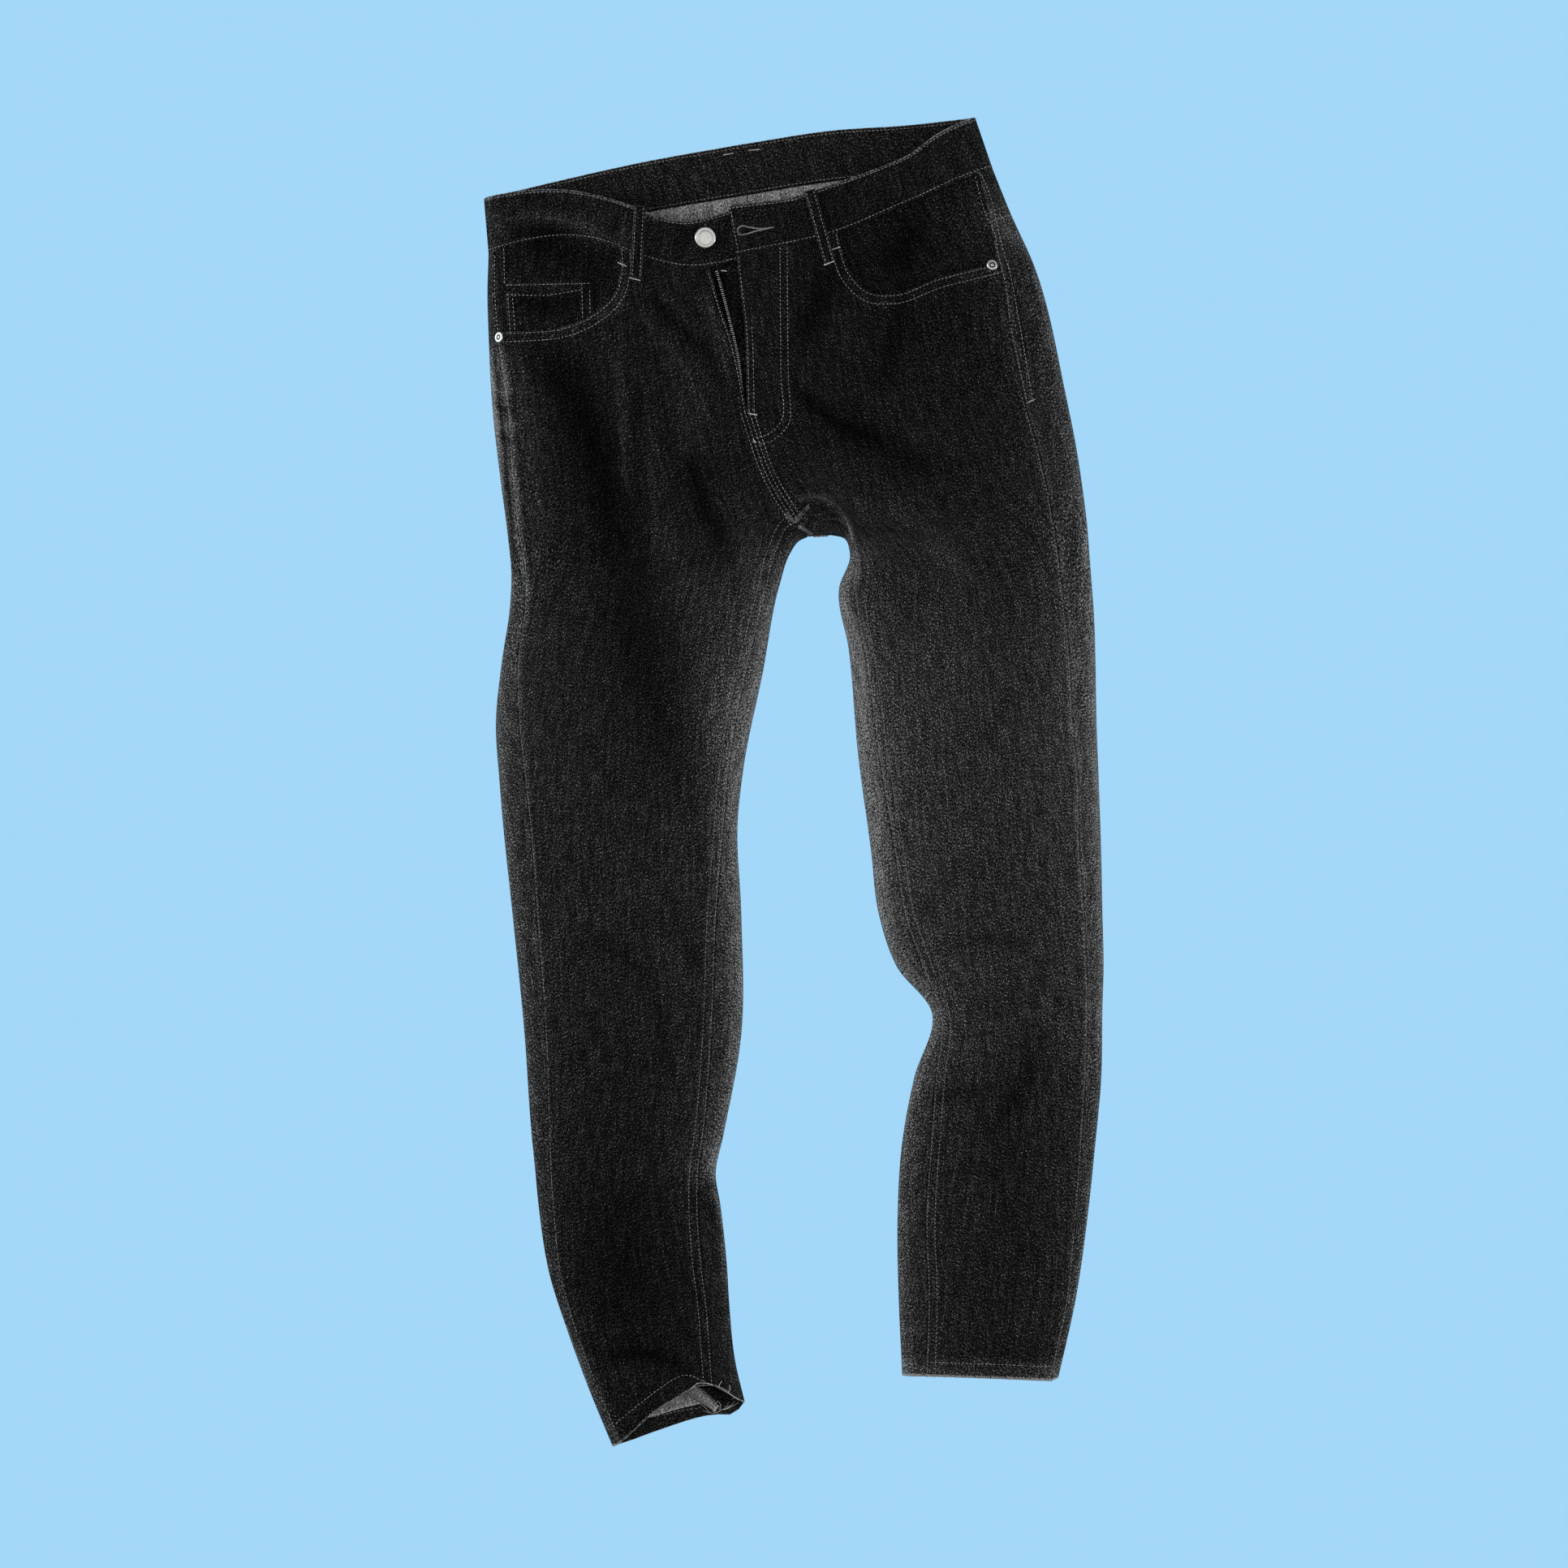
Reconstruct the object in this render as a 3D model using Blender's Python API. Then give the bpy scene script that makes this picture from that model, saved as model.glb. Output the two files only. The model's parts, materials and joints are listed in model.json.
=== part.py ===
"""Slim jeans laid flat on a surface, front up, with the button undone and the fly open.

Each piece that is cut and sewn on is one closed solid. Sizes are in millimetres: +X points to the
wearer's left, +Y to the waist and +Z up from the surface that the jeans lie on.
"""

import math
from collections import namedtuple

import bpy
import numpy as np

MM = 0.001

# Cloth thicknesses and the gaps between pieces
WALL = 1.5
HEM_WALL = 3.0
BAND_WALL = 3.0
TAPE_WALL = 0.8
PATCH_WALL = 1.2
SEAM_GAP = 0.3
LAY_GAP = 0.3
LOOSE_GAP = 0.6

# How the cloth lies: edges roll over softly and the middle sags a little
TOP_ROLL = 13.0
UNDER_ROLL = 8.0
EDGE_SHARE = 0.42
SAG = 2.5
SAG_REACH = 30.0
SEAT_LIFT = 1.8
SEAT_LIFT_FROM_Y = 150.0
SEAT_LIFT_TO_Y = 225.0

# Front closing: the buttonhole end of the waistband laps over the button end
LAP_LIFT = 3.6
LAP_X = (-46.0, -2.0)
LAP_Y = (375.0, 435.0)

# The left crotch is pushed up into an arch
ARCH_RISE = 24.0
ARCH_X = (5.0, 17.0, 33.0, 60.0)
ARCH_Y = (209.0, 290.0)

# Fineness of the sections
ROW_STEP = 28.0
ROW_SLACK = 0.2
HEM_DEPTH = 13.0
HEM_STEP = 3.0
FRONT_COLUMNS = (0.0, 0.02, 0.06, 0.14, 0.26, 0.42, 0.58, 0.74, 0.86, 0.94, 0.98, 1.0)
BAND_WRAP = (0.0, 0.15, 0.5)
OUTER_WRAP = (0.0, 0.5, 0.85)
INNER_WRAP = (0.15, 0.5, 1.0)
ROLL_STEPS = (1.2, 4.0, 8.0)
TORSO_SPREAD = 6.0
MIDDLE_COLUMNS = 4
LOOP_STOPS = 9
BAND_ROWS = 3
SEARCH_STEPS = 40
SLOPE_REACH = 0.3
SHARP_ANGLE = math.radians(40)

# Rows of the section tables that mean something
YOKE_ROW = 1
FLY_ROW = 3
CROTCH_ROW = 5
WAIST_FADE_ROWS = 3.0

# One row for each section from the waist seam to the hem. edge is the folded outer side, side the
# side seam, front the centre front or the inseam, back the centre back or the inner fold.
Section = namedtuple("Section", "edge side front back")
RIGHT = (
    Section(edge=(-256, 443), side=(-252, 444), front=(-71, 432), back=(-39, 493)),
    Section(edge=(-257, 409), side=(-252, 409), front=(-64, 407), back=(-31, 430)),
    Section(edge=(-256, 375), side=(-249, 373), front=(-50, 364), back=(-22, 377)),
    Section(edge=(-253, 316), side=(-241, 316), front=(-39, 310), back=(-11, 316)),
    Section(edge=(-247, 261), side=(-237, 261), front=(-20, 256), back=(1, 254)),
    Section(edge=(-240, 207), side=(-231, 207), front=(3, 217), back=(12, 206)),
    Section(edge=(-237, 176), side=(-226, 176), front=(-3, 214), back=(4, 202)),
    Section(edge=(-238, 149), side=(-226, 149), front=(-12, 197), back=(-3, 192)),
    Section(edge=(-245, 101), side=(-232, 101), front=(-24, 153), back=(-12, 165)),
    Section(edge=(-250, 50), side=(-231, 50), front=(-40, 88), back=(-26, 92)),
    Section(edge=(-247, 1), side=(-226, 1), front=(-54, 10), back=(-42, 13)),
    Section(edge=(-244, -35), side=(-222, -35), front=(-58, -35), back=(-47, -33)),
    Section(edge=(-236, -111), side=(-216, -111), front=(-64, -111), back=(-44, -111)),
    Section(edge=(-226, -211), side=(-209, -211), front=(-68, -211), back=(-44, -211)),
    Section(edge=(-220, -296), side=(-206, -296), front=(-75, -296), back=(-55, -296)),
    Section(edge=(-215, -347), side=(-204, -347), front=(-80, -347), back=(-56, -347)),
    Section(edge=(-205, -413), side=(-197, -413), front=(-76, -407), back=(-56, -407)),
    Section(edge=(-190, -460), side=(-184, -460), front=(-72, -439), back=(-54, -439)),
    Section(edge=(-173, -506), side=(-167, -505), front=(-69, -479), back=(-49, -486)),
    Section(edge=(-152, -557), side=(-146, -554), front=(-67, -505), back=(-41, -520)),
)
LEFT = (
    Section(edge=(167, 514), side=(155, 510), front=(-48, 441), back=(-39, 493)),
    Section(edge=(182, 477), side=(163, 477), front=(-46, 421), back=(-31, 430)),
    Section(edge=(201, 435), side=(171, 435), front=(-42, 390), back=(-22, 377)),
    Section(edge=(228, 326), side=(193, 322), front=(-39, 310), back=(-11, 316)),
    Section(edge=(238, 275), side=(206, 275), front=(-20, 256), back=(1, 254)),
    Section(edge=(243, 241), side=(214, 241), front=(3, 217), back=(12, 206)),
    Section(edge=(246, 217), side=(218, 217), front=(17, 213), back=(21, 207)),
    Section(edge=(248, 192), side=(222, 192), front=(32, 210), back=(33, 207)),
    Section(edge=(250, 166), side=(225, 166), front=(44, 203), back=(43, 204)),
    Section(edge=(252, 139), side=(228, 139), front=(51, 189), back=(47, 192)),
    Section(edge=(253, 108), side=(231, 112), front=(50, 158), back=(38, 163)),
    Section(edge=(254, 54), side=(234, 57), front=(60, 101), back=(46, 112)),
    Section(edge=(256, -1), side=(239, -1), front=(71, 20), back=(54, 23)),
    Section(edge=(258, -59), side=(240, -59), front=(84, -59), back=(65, -59)),
    Section(edge=(259, -109), side=(244, -109), front=(92, -109), back=(71, -109)),
    Section(edge=(260, -155), side=(246, -155), front=(107, -154), back=(86, -154)),
    Section(edge=(259, -191), side=(247, -191), front=(122, -194), back=(116, -194)),
    Section(edge=(258, -249), side=(245, -249), front=(118, -249), back=(101, -248)),
    Section(edge=(253, -304), side=(242, -304), front=(114, -302), back=(91, -302)),
    Section(edge=(246, -370), side=(237, -370), front=(110, -370), back=(87, -370)),
    Section(edge=(237, -432), side=(231, -432), front=(112, -430), back=(88, -432)),
    Section(edge=(229, -496), side=(223, -498), front=(110, -498), back=(91, -498)),
)

# The waistband's two edges, station by station from the folded side
Station = namedtuple("Station", "top bottom")
BAND_FRONT_RIGHT = (
    Station(top=(-260, 490), bottom=(-256, 443)),
    Station(top=(-222, 496), bottom=(-219, 453)),
    Station(top=(-187, 496), bottom=(-187, 456)),
    Station(top=(-158, 490), bottom=(-160, 452)),
    Station(top=(-133, 482), bottom=(-137, 443)),
    Station(top=(-111, 473), bottom=(-116, 436)),
    Station(top=(-90, 470), bottom=(-90, 431)),
    Station(top=(-70, 474), bottom=(-69, 432)),
    Station(top=(-45, 481), bottom=(-45, 437)),
)
BAND_FRONT_LEFT = (
    Station(top=(152, 558), bottom=(167, 514)),
    Station(top=(120, 543), bottom=(136, 503)),
    Station(top=(95, 525), bottom=(107, 490)),
    Station(top=(69, 514), bottom=(79, 478)),
    Station(top=(44, 505), bottom=(52, 466)),
    Station(top=(18, 496), bottom=(26, 457)),
    Station(top=(-1, 490), bottom=(5, 452)),
    Station(top=(-27, 486), bottom=(-20, 447)),
    Station(top=(-55, 483), bottom=(-48, 441)),
)
BAND_BACK_RIGHT = (
    Station(top=(-260, 490), bottom=(-256, 443)),
    Station(top=(-189, 505), bottom=(-181, 466)),
    Station(top=(-128, 518), bottom=(-120, 479)),
    Station(top=(-45, 533), bottom=(-39, 493)),
)
BAND_BACK_LEFT = (
    Station(top=(152, 558), bottom=(167, 514)),
    Station(top=(93, 549), bottom=(100, 509)),
    Station(top=(34, 545), bottom=(38, 505)),
    Station(top=(-45, 533), bottom=(-39, 493)),
)

# The right hem is lifted off the surface, so its front edge arches back from its back edge
HEM_RIGHT_FRONT = ((-146, -554), (-135, -544), (-116, -527), (-100, -517), (-81, -506), (-67, -505))
HEM_RIGHT_BACK = ((-152, -557), (-144, -555), (-116, -545), (-67, -531), (-50, -530), (-41, -520))

# Fullness: how high the top cloth stands at a place along the jeans
Height = namedtuple("Height", "y right left")
HEIGHTS = (
    Height(y=-560, right=25, left=14),
    Height(y=-505, right=23, left=14),
    Height(y=-440, right=17, left=14),
    Height(y=-300, right=16, left=15.5),
    Height(y=-190, right=16.5, left=18),
    Height(y=-20, right=18, left=18.5),
    Height(y=120, right=20, left=20),
    Height(y=206, right=22, left=22),
    Height(y=330, right=25, left=25),
    Height(y=470, right=26, left=26),
    Height(y=560, right=25, left=25),
)
LEG_GAP_X = 20.0

# The largest folds: a ridge where height is above nought, a trough where it is below
Fold = namedtuple("Fold", "start end width height")
FOLDS = (
    Fold(start=(-76, -10), end=(-80, -235), width=9, height=-3.0),
    Fold(start=(-60, 95), end=(-66, 5), width=12, height=1.8),
    Fold(start=(128, -192), end=(196, -176), width=14, height=-3.0),
    Fold(start=(124, -235), end=(170, -222), width=12, height=2.0),
    Fold(start=(22, 248), end=(62, 226), width=11, height=2.0),
    Fold(start=(66, 205), end=(74, 120), width=11, height=1.8),
    Fold(start=(-222, 150), end=(-190, 128), width=12, height=-2.5),
    Fold(start=(-92, -290), end=(-86, -400), width=9, height=2.2),
    Fold(start=(-170, -470), end=(-96, -455), width=16, height=2.5),
)

# Front pockets: the mouth is cut out of each front, from the waist seam to the side seam
MOUTH_RIGHT = ((-146, 456), (-146, 424), (-150, 410), (-167, 393), (-195, 381), (-224, 378), (-266, 377))
MOUTH_LEFT = ((34, 480), (40, 446), (48, 425), (63, 411), (82, 409), (120, 422), (168, 434), (205, 443))
CORNER_RIGHT = ((-300, 377), (-300, 520), (-146, 520))
CORNER_LEFT = ((260, 470), (200, 600), (34, 600))
CUTTER_HEIGHTS = (-5.0, 60.0)
FACING_COLUMNS = 8
FACING_ROWS = 2.55

# Coin pocket, by the corners of what shows above the right pocket's mouth
COIN_TOP = ((-242, 418), (-173, 420))
COIN_BOTTOM = ((-240, 382), (-173, 393.5))

# Fly: the shield and zip tape show in the wedge between the fronts
SHIELD_TOP = ((-78, 446), (-30, 440))
SHIELD_BOTTOM = ((-50, 302), (-26, 300))
TAPE_TOP = ((-80, 427), (-60, 427))
TAPE_BOTTOM = ((-50, 318), (-37, 318))
TAPE_DEPTH = WALL + 0.5
SHIELD_DEPTH = TAPE_DEPTH + TAPE_WALL + 0.5

# Belt loops, from the waistband's top edge to just below its seam
LOOP_WIDTH = 10.0
LOOP_WALL = 1.5
LOOP_BOW = 1.2
LOOP_LENGTH = 60.0
LOOP_RISE = 1.0
FRONT_LOOPS = {
    "belt_loop_front_right": ((-129, 483), (-132, 422)),
    "belt_loop_front_left": ((13, 496), (30, 435)),
}
WAIST_TILT = math.radians(9.4)
BACK_CENTRE = (-42.0, 513.0)
BACK_LOOPS = {
    "belt_loop_back_right": -152.0,
    "belt_loop_back_centre": 0.0,
    "belt_loop_back_left": 152.0,
}

# Back pockets lie under the seat: places are across and down from the centre of the waistband
POCKET_WIDTH = 134.0
POCKET_HEIGHT = 146.0
POCKET_POINT = 22.0
POCKET_TAPER = 9.0
POCKET_ACROSS = 112.0
POCKET_DOWN = 96.0

# Metal trim
BUTTON_AT = (-74, 456)
BUTTON_RADIUS = 8.75
BUTTON_PROFILE = ((0.45, 0.0), (0.45, 1.4), (1.0, 1.6), (1.0, 2.6), (0.86, 3.4), (0.5, 3.5), (0.4, 3.2))
RIVETS = {"rivet_right": (-246.5, 372.5), "rivet_left": (166, 433)}
RIVET_RADIUS = 4.9
RIVET_PROFILE = ((1.0, 0.0), (1.0, 0.5), (0.75, 1.1), (0.45, 1.3), (0.36, 1.0))
TRIM_SIDES = 24

DENIM = (0.012, 0.012, 0.013)
DENIM_INSIDE = (0.045, 0.047, 0.05)
TAPE_BLACK = (0.008, 0.008, 0.009)
STEEL = (0.62, 0.62, 0.6)


def smooth_step(value):
    """Nought to one with soft ends."""
    value = np.clip(value, 0.0, 1.0)
    return value * value * (3.0 - 2.0 * value)


class Course:
    """A smooth line through a few points, with sharp turns only at the corners."""

    def __init__(self, points, corners=()):
        self.points = np.array(points, float)
        steps = np.diff(self.points, axis=0)
        self.lengths = np.linalg.norm(steps, axis=1)
        slopes = steps / self.lengths[:, None]
        self.leaving = np.vstack([slopes, slopes[-1:]])
        self.arriving = np.vstack([slopes[:1], slopes])
        for i in range(1, len(self.points) - 1):
            if i in corners:
                continue
            before, after = self.lengths[i - 1], self.lengths[i]
            tangent = (slopes[i - 1] * after + slopes[i] * before) / (before + after)
            self.leaving[i] = tangent
            self.arriving[i] = tangent

    def at(self, place):
        """The point at a place counted in points, such as 2.5 for half way from 2 to 3."""
        i = min(int(place), len(self.lengths) - 1)
        f = place - i
        length = self.lengths[i]
        start = (1 + 2 * f) * (1 - f) ** 2 * self.points[i]
        end = f * f * (3 - 2 * f) * self.points[i + 1]
        leave = f * (1 - f) ** 2 * length * self.leaving[i]
        arrive = f * f * (1 - f) * length * self.arriving[i + 1]
        return start + end + leave - arrive

    def place_of(self, share):
        """The place that lies at a share, nought to one, of the line's length."""
        ends = np.concatenate([[0.0], np.cumsum(self.lengths)])
        reach = share * ends[-1]
        i = min(int(np.searchsorted(ends, reach, side="right")) - 1, len(self.lengths) - 1)
        return i + (reach - ends[i]) / self.lengths[i]


def courses(table):
    """The four lines that run down a half of the jeans through its sections."""
    fly_turns = (FLY_ROW, CROTCH_ROW)
    return {
        "edge": Course([s.edge for s in table]),
        "side": Course([s.side for s in table]),
        "front": Course([s.front for s in table], fly_turns),
        "back": Course([s.back for s in table], (CROTCH_ROW,)),
    }


def row_places(table):
    """Where the rows of a half's mesh lie, closer together at the hem."""
    places = []
    for i in range(len(table) - 1):
        tables = (RIGHT, LEFT) if i < CROTCH_ROW else (table,)
        spans = []
        for sections in tables:
            spans += [np.hypot(*np.subtract(a, b)) for a, b in zip(sections[i], sections[i + 1])]
        count = max(1, math.ceil(max(spans) / ROW_STEP - ROW_SLACK))
        places += [i + k / count for k in range(count)]
    last = len(table) - 1
    length = np.hypot(*np.subtract(table[-1].edge, table[-2].edge))
    fold = last - HEM_DEPTH / length
    before = last - (HEM_DEPTH + HEM_STEP) / length
    places = [p for p in places if p < before - HEM_STEP / length]
    return places + [before, fold, float(last)]


LINES = {"right": courses(RIGHT), "left": courses(LEFT)}
ROWS = {"right": row_places(RIGHT), "left": row_places(LEFT)}
BANDS = {
    "front_right": BAND_FRONT_RIGHT,
    "front_left": BAND_FRONT_LEFT,
    "back_right": BAND_BACK_RIGHT,
    "back_left": BAND_BACK_LEFT,
}
BAND_EDGES = {
    name: (Course([s.top for s in stations]), Course([s.bottom for s in stations]))
    for name, stations in BANDS.items()
}


def outline():
    """Start and end points of the short lines along which the cloth folds from top to under."""
    starts, ends = [], []
    for half, side_top in (("right", BAND_FRONT_RIGHT[0].top), ("left", BAND_FRONT_LEFT[0].top)):
        outer = [np.array(side_top, float)] + [LINES[half]["edge"].at(p) for p in ROWS[half]]
        inner = [LINES[half]["back"].at(p) for p in ROWS[half] if p >= CROTCH_ROW]
        for line in (outer, inner):
            starts += line[:-1]
            ends += line[1:]
    return np.array(starts), np.array(ends)


OUTLINE = outline()


def fold_distance(points):
    """How far each point lies from the nearest folded edge."""
    starts, ends = OUTLINE
    along = ends - starts
    offset = points[:, None, :] - starts[None]
    share = np.clip((offset * along).sum(2) / (along * along).sum(1), 0.0, 1.0)
    gap = offset - share[:, :, None] * along
    return np.sqrt((gap * gap).sum(2)).min(1)


def roll(distance, reach):
    """A quarter round from nought at the fold to one at its reach."""
    return np.sqrt(np.clip(1.0 - (1.0 - np.minimum(distance / reach, 1.0)) ** 2, 0.0, 1.0))


def fullness(points):
    """Height of the top cloth before it sags and folds."""
    stations = [h.y for h in HEIGHTS]
    right = np.interp(points[:, 1], stations, [h.right for h in HEIGHTS])
    left = np.interp(points[:, 1], stations, [h.left for h in HEIGHTS])
    return np.where(points[:, 0] < LEG_GAP_X, right, left)


def fold_height(points):
    """What the large folds add to the top cloth."""
    total = np.zeros(len(points))
    for fold in FOLDS:
        start, along = np.array(fold.start, float), np.subtract(fold.end, fold.start)
        share = ((points - start) @ along) / (along @ along)
        gap = points - start - np.clip(share, 0, 1)[:, None] * along
        distance = np.hypot(gap[:, 0], gap[:, 1])
        total += fold.height * np.exp(-((distance / fold.width) ** 2))
    return total


def lap(points):
    """How far the left front is lifted where it laps over the right at the waist."""
    across = 1.0 - smooth_step((points[:, 0] - LAP_X[0]) / (LAP_X[1] - LAP_X[0]))
    up = smooth_step((points[:, 1] - LAP_Y[0]) / (LAP_Y[1] - LAP_Y[0]))
    return LAP_LIFT * across * up


def edge_height(points):
    return EDGE_SHARE * fullness(points)


def top_height(points, lapped=False):
    """Height of the top skin."""
    distance = fold_distance(points)
    middle = 1.0 - np.exp(-((np.maximum(distance - TOP_ROLL, 0.0) / SAG_REACH) ** 2))
    crown = fullness(points) - SAG * middle + fold_height(points)
    low = edge_height(points)
    height = low + (crown - low) * roll(distance, TOP_ROLL)
    return height + lap(points) if lapped else height


def under_height(points):
    """Height of the under skin, which lies flat but for its folded edges."""
    lift = SEAT_LIFT * smooth_step(
        (points[:, 1] - SEAT_LIFT_FROM_Y) / (SEAT_LIFT_TO_Y - SEAT_LIFT_FROM_Y)
    )
    rise = edge_height(points) - lift
    return lift + rise * (1.0 - roll(fold_distance(points), UNDER_ROLL))


def skin(points, face):
    """Points on a skin, with their outward normals. face is top, lapped or under."""
    points = np.array(points, float)

    def height(at):
        return under_height(at) if face == "under" else top_height(at, face == "lapped")

    aside, along = (SLOPE_REACH, 0), (0, SLOPE_REACH)
    slope_x = (height(points + aside) - height(points - aside)) / (2 * SLOPE_REACH)
    slope_y = (height(points + along) - height(points - along)) / (2 * SLOPE_REACH)
    normals = np.stack([-slope_x, -slope_y, np.ones(len(points))], axis=1)
    normals /= np.linalg.norm(normals, axis=1)[:, None]
    if face == "under":
        normals = -normals
    return np.column_stack([points, height(points)]), normals


def edge_normals(points, inside):
    """Level normals along a folded edge, which point away from the inside points."""
    along = np.gradient(points, axis=0)
    normals = np.stack([along[:, 1], -along[:, 0]], axis=1)
    normals /= np.linalg.norm(normals, axis=1)[:, None]
    wrong = ((inside - points) * normals).sum(1) > 0
    normals[wrong] *= -1
    return np.column_stack([normals, np.zeros(len(points))])


def arch_rise(points):
    """Plan shift of the left front where it is pushed up at the crotch."""
    x, y = points[..., 0], points[..., 1]
    across = smooth_step((x - ARCH_X[0]) / (ARCH_X[1] - ARCH_X[0]))
    across = across - smooth_step((x - ARCH_X[2]) / (ARCH_X[3] - ARCH_X[2]))
    up = 1.0 - smooth_step((y - ARCH_Y[0]) / (ARCH_Y[1] - ARCH_Y[0]))
    return ARCH_RISE * across * up


def waist_places(half, front):
    """Places along the waistband's lower edge where a half's top row starts and ends."""
    name = ("front_" if front else "back_") + half
    edge = BAND_EDGES[name][1]
    stations = len(edge.points) - 1
    if not front:
        return edge, 0.0, float(stations)
    ends = []
    for point in (LINES[half]["side"].points[0], LINES[half]["front"].points[0]):
        fine = np.linspace(0, stations, SEARCH_STEPS * stations + 1)
        gaps = [np.hypot(*(edge.at(p) - point)) for p in fine]
        ends.append(float(fine[int(np.argmin(gaps))]))
    return edge, ends[0], ends[1]


def straight_row(start, end, shares):
    """Plan places at shares of the way from start to end."""
    return start + (end - start) * np.asarray(shares, float)[:, None]


def bow(line, shares):
    """How far a line's places stand off the straight row between its ends."""
    return line - straight_row(line[0], line[-1], shares)


def hem_bow(hem, shares):
    """The bow of a hem edge that is drawn through a few points; none for a straight hem."""
    if hem is None:
        return np.zeros((len(shares), 2))
    course = Course(hem)
    return bow(np.array([course.at(course.place_of(u)) for u in shares]), shares)


def row_fades(place, rows):
    """How strongly a row follows the waist's bow and the hem's."""
    return 1.0 - smooth_step(place / WAIST_FADE_ROWS), smooth_step(place - (rows[-1] - 1))


def front_plan(half):
    """Plan places of the front's grid, rows from waist to hem and columns from side to front."""
    lines, rows = LINES[half], ROWS[half]
    edge, first, last = waist_places(half, front=True)
    waist = np.array([edge.at(first + (last - first) * u) for u in FRONT_COLUMNS])
    waist_bow = bow(waist, FRONT_COLUMNS)
    foot_bow = hem_bow(HEM_RIGHT_FRONT if half == "right" else None, FRONT_COLUMNS)
    plan = []
    for place in rows:
        waist_fade, hem_fade = row_fades(place, rows)
        row = straight_row(lines["side"].at(place), lines["front"].at(place), FRONT_COLUMNS)
        plan.append(row + waist_fade * waist_bow + hem_fade * foot_bow)
    plan = np.array(plan)
    if half == "left":
        plan[..., 1] += arch_rise(plan)
    return plan


def under_shares(width, torso):
    """Shares across the under sheet, fine where it rolls up at its folded edges."""
    inner = [step * (TORSO_SPREAD if torso else 1.0) for step in ROLL_STEPS]
    first, last = ROLL_STEPS[-1], width - inner[-1]
    middle = [first + (last - first) * k / MIDDLE_COLUMNS for k in range(1, MIDDLE_COLUMNS)]
    places = [0.0, *ROLL_STEPS, *middle, *(width - step for step in reversed(inner)), width]
    return np.array(places) / width


def back_grid(half):
    """Points, normals and presence of the back's grid, from the side seam under to the inseam."""
    lines, rows = LINES[half], ROWS[half]
    front = front_plan(half)
    waist_line, first, last = waist_places(half, front=False)
    hem = HEM_RIGHT_BACK if half == "right" else None
    strips = []
    for i, place in enumerate(rows):
        edge, inner = lines["edge"].at(place), lines["back"].at(place)
        wraps_in = place >= CROTCH_ROW
        shares = under_shares(np.hypot(*(inner - edge)), not wraps_in)
        waist = np.array([waist_line.at(first + (last - first) * u) for u in shares])
        waist_fade, hem_fade = row_fades(place, rows)
        under = straight_row(edge, inner, shares) + waist_fade * bow(waist, shares)
        under = under + hem_fade * hem_bow(hem, shares)
        outer_wrap = straight_row(front[i, 0], edge, OUTER_WRAP)
        inner_wrap = straight_row(inner, front[i, -1], INNER_WRAP)
        strips.append((outer_wrap, under, inner_wrap, wraps_in))
    return assemble_back(strips)


def assemble_back(strips):
    """Joins each row's outer wrap, under sheet and inner wrap into one grid."""
    outer = np.array([s[0] for s in strips])
    under = np.array([s[1] for s in strips])
    inner = np.array([s[2] for s in strips])
    present = np.array([s[3] for s in strips])
    rows, count = len(strips), outer.shape[1] + under.shape[1] + inner.shape[1]
    points = np.full((rows, count, 3), np.nan)
    normals = np.full((rows, count, 3), np.nan)
    groups = ((outer, "top", 0), (under, "under", outer.shape[1]),
              (inner, "top", outer.shape[1] + under.shape[1]))
    for plan, face, start in groups:
        flat, flat_normals = skin(plan.reshape(-1, 2), face)
        width = plan.shape[1]
        points[:, start:start + width] = flat.reshape(rows, width, 3)
        normals[:, start:start + width] = flat_normals.reshape(rows, width, 3)
    fold = outer.shape[1]
    normals[:, fold] = edge_normals(under[:, 0], outer[:, 0])
    inner_fold = fold + under.shape[1] - 1
    legs = np.flatnonzero(present)
    normals[legs, inner_fold] = edge_normals(under[legs, -1], inner[legs, -1])
    points[~present, inner_fold + 1:] = np.nan
    return points, normals


def front_grid(half):
    """Points and normals of the front's grid."""
    plan = front_plan(half)
    face = "lapped" if half == "left" else "top"
    points, normals = skin(plan.reshape(-1, 2), face)
    return points.reshape(*plan.shape[:2], 3), normals.reshape(*plan.shape[:2], 3)


def leg_walls(half, columns):
    """Wall thickness by row, doubled where the hem is turned up."""
    rows = np.array(ROWS[half])
    walls = np.where(rows >= rows[-2] - 1e-9, HEM_WALL, WALL)
    return np.repeat(walls[:, None], columns, axis=1)


def add_object(name, vertices, faces, material):
    mesh = bpy.data.meshes.new(name)
    mesh.from_pydata([tuple(np.array(v) * MM) for v in vertices], [], faces)
    mesh.materials.append(material)
    mesh.shade_smooth()
    mesh.set_sharp_from_angle(angle=SHARP_ANGLE)
    obj = bpy.data.objects.new(name, mesh)
    bpy.context.scene.collection.objects.link(obj)
    return obj


def make_material(name, colour, roughness, metallic=0.0):
    material = bpy.data.materials.new(name)
    material.use_nodes = True
    shader = material.node_tree.nodes["Principled BSDF"]
    shader.inputs["Base Color"].default_value = (*colour, 1.0)
    shader.inputs["Roughness"].default_value = roughness
    shader.inputs["Metallic"].default_value = metallic
    return material


def boundary_insets(vertices, normals, border):
    """Moves each border point half a seam gap into its piece, square to both of its edges."""
    pulls = {}
    for a, b in border:
        along = vertices[b] - vertices[a]
        for corner in (a, b):
            pull = np.cross(normals[corner], along)
            pulls.setdefault(corner, []).append(pull / np.linalg.norm(pull))
    moved = vertices.copy()
    for corner, (one, two) in pulls.items():
        moved[corner] += (one + two) / (1.0 + one @ two) * SEAM_GAP / 2
    return moved


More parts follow.
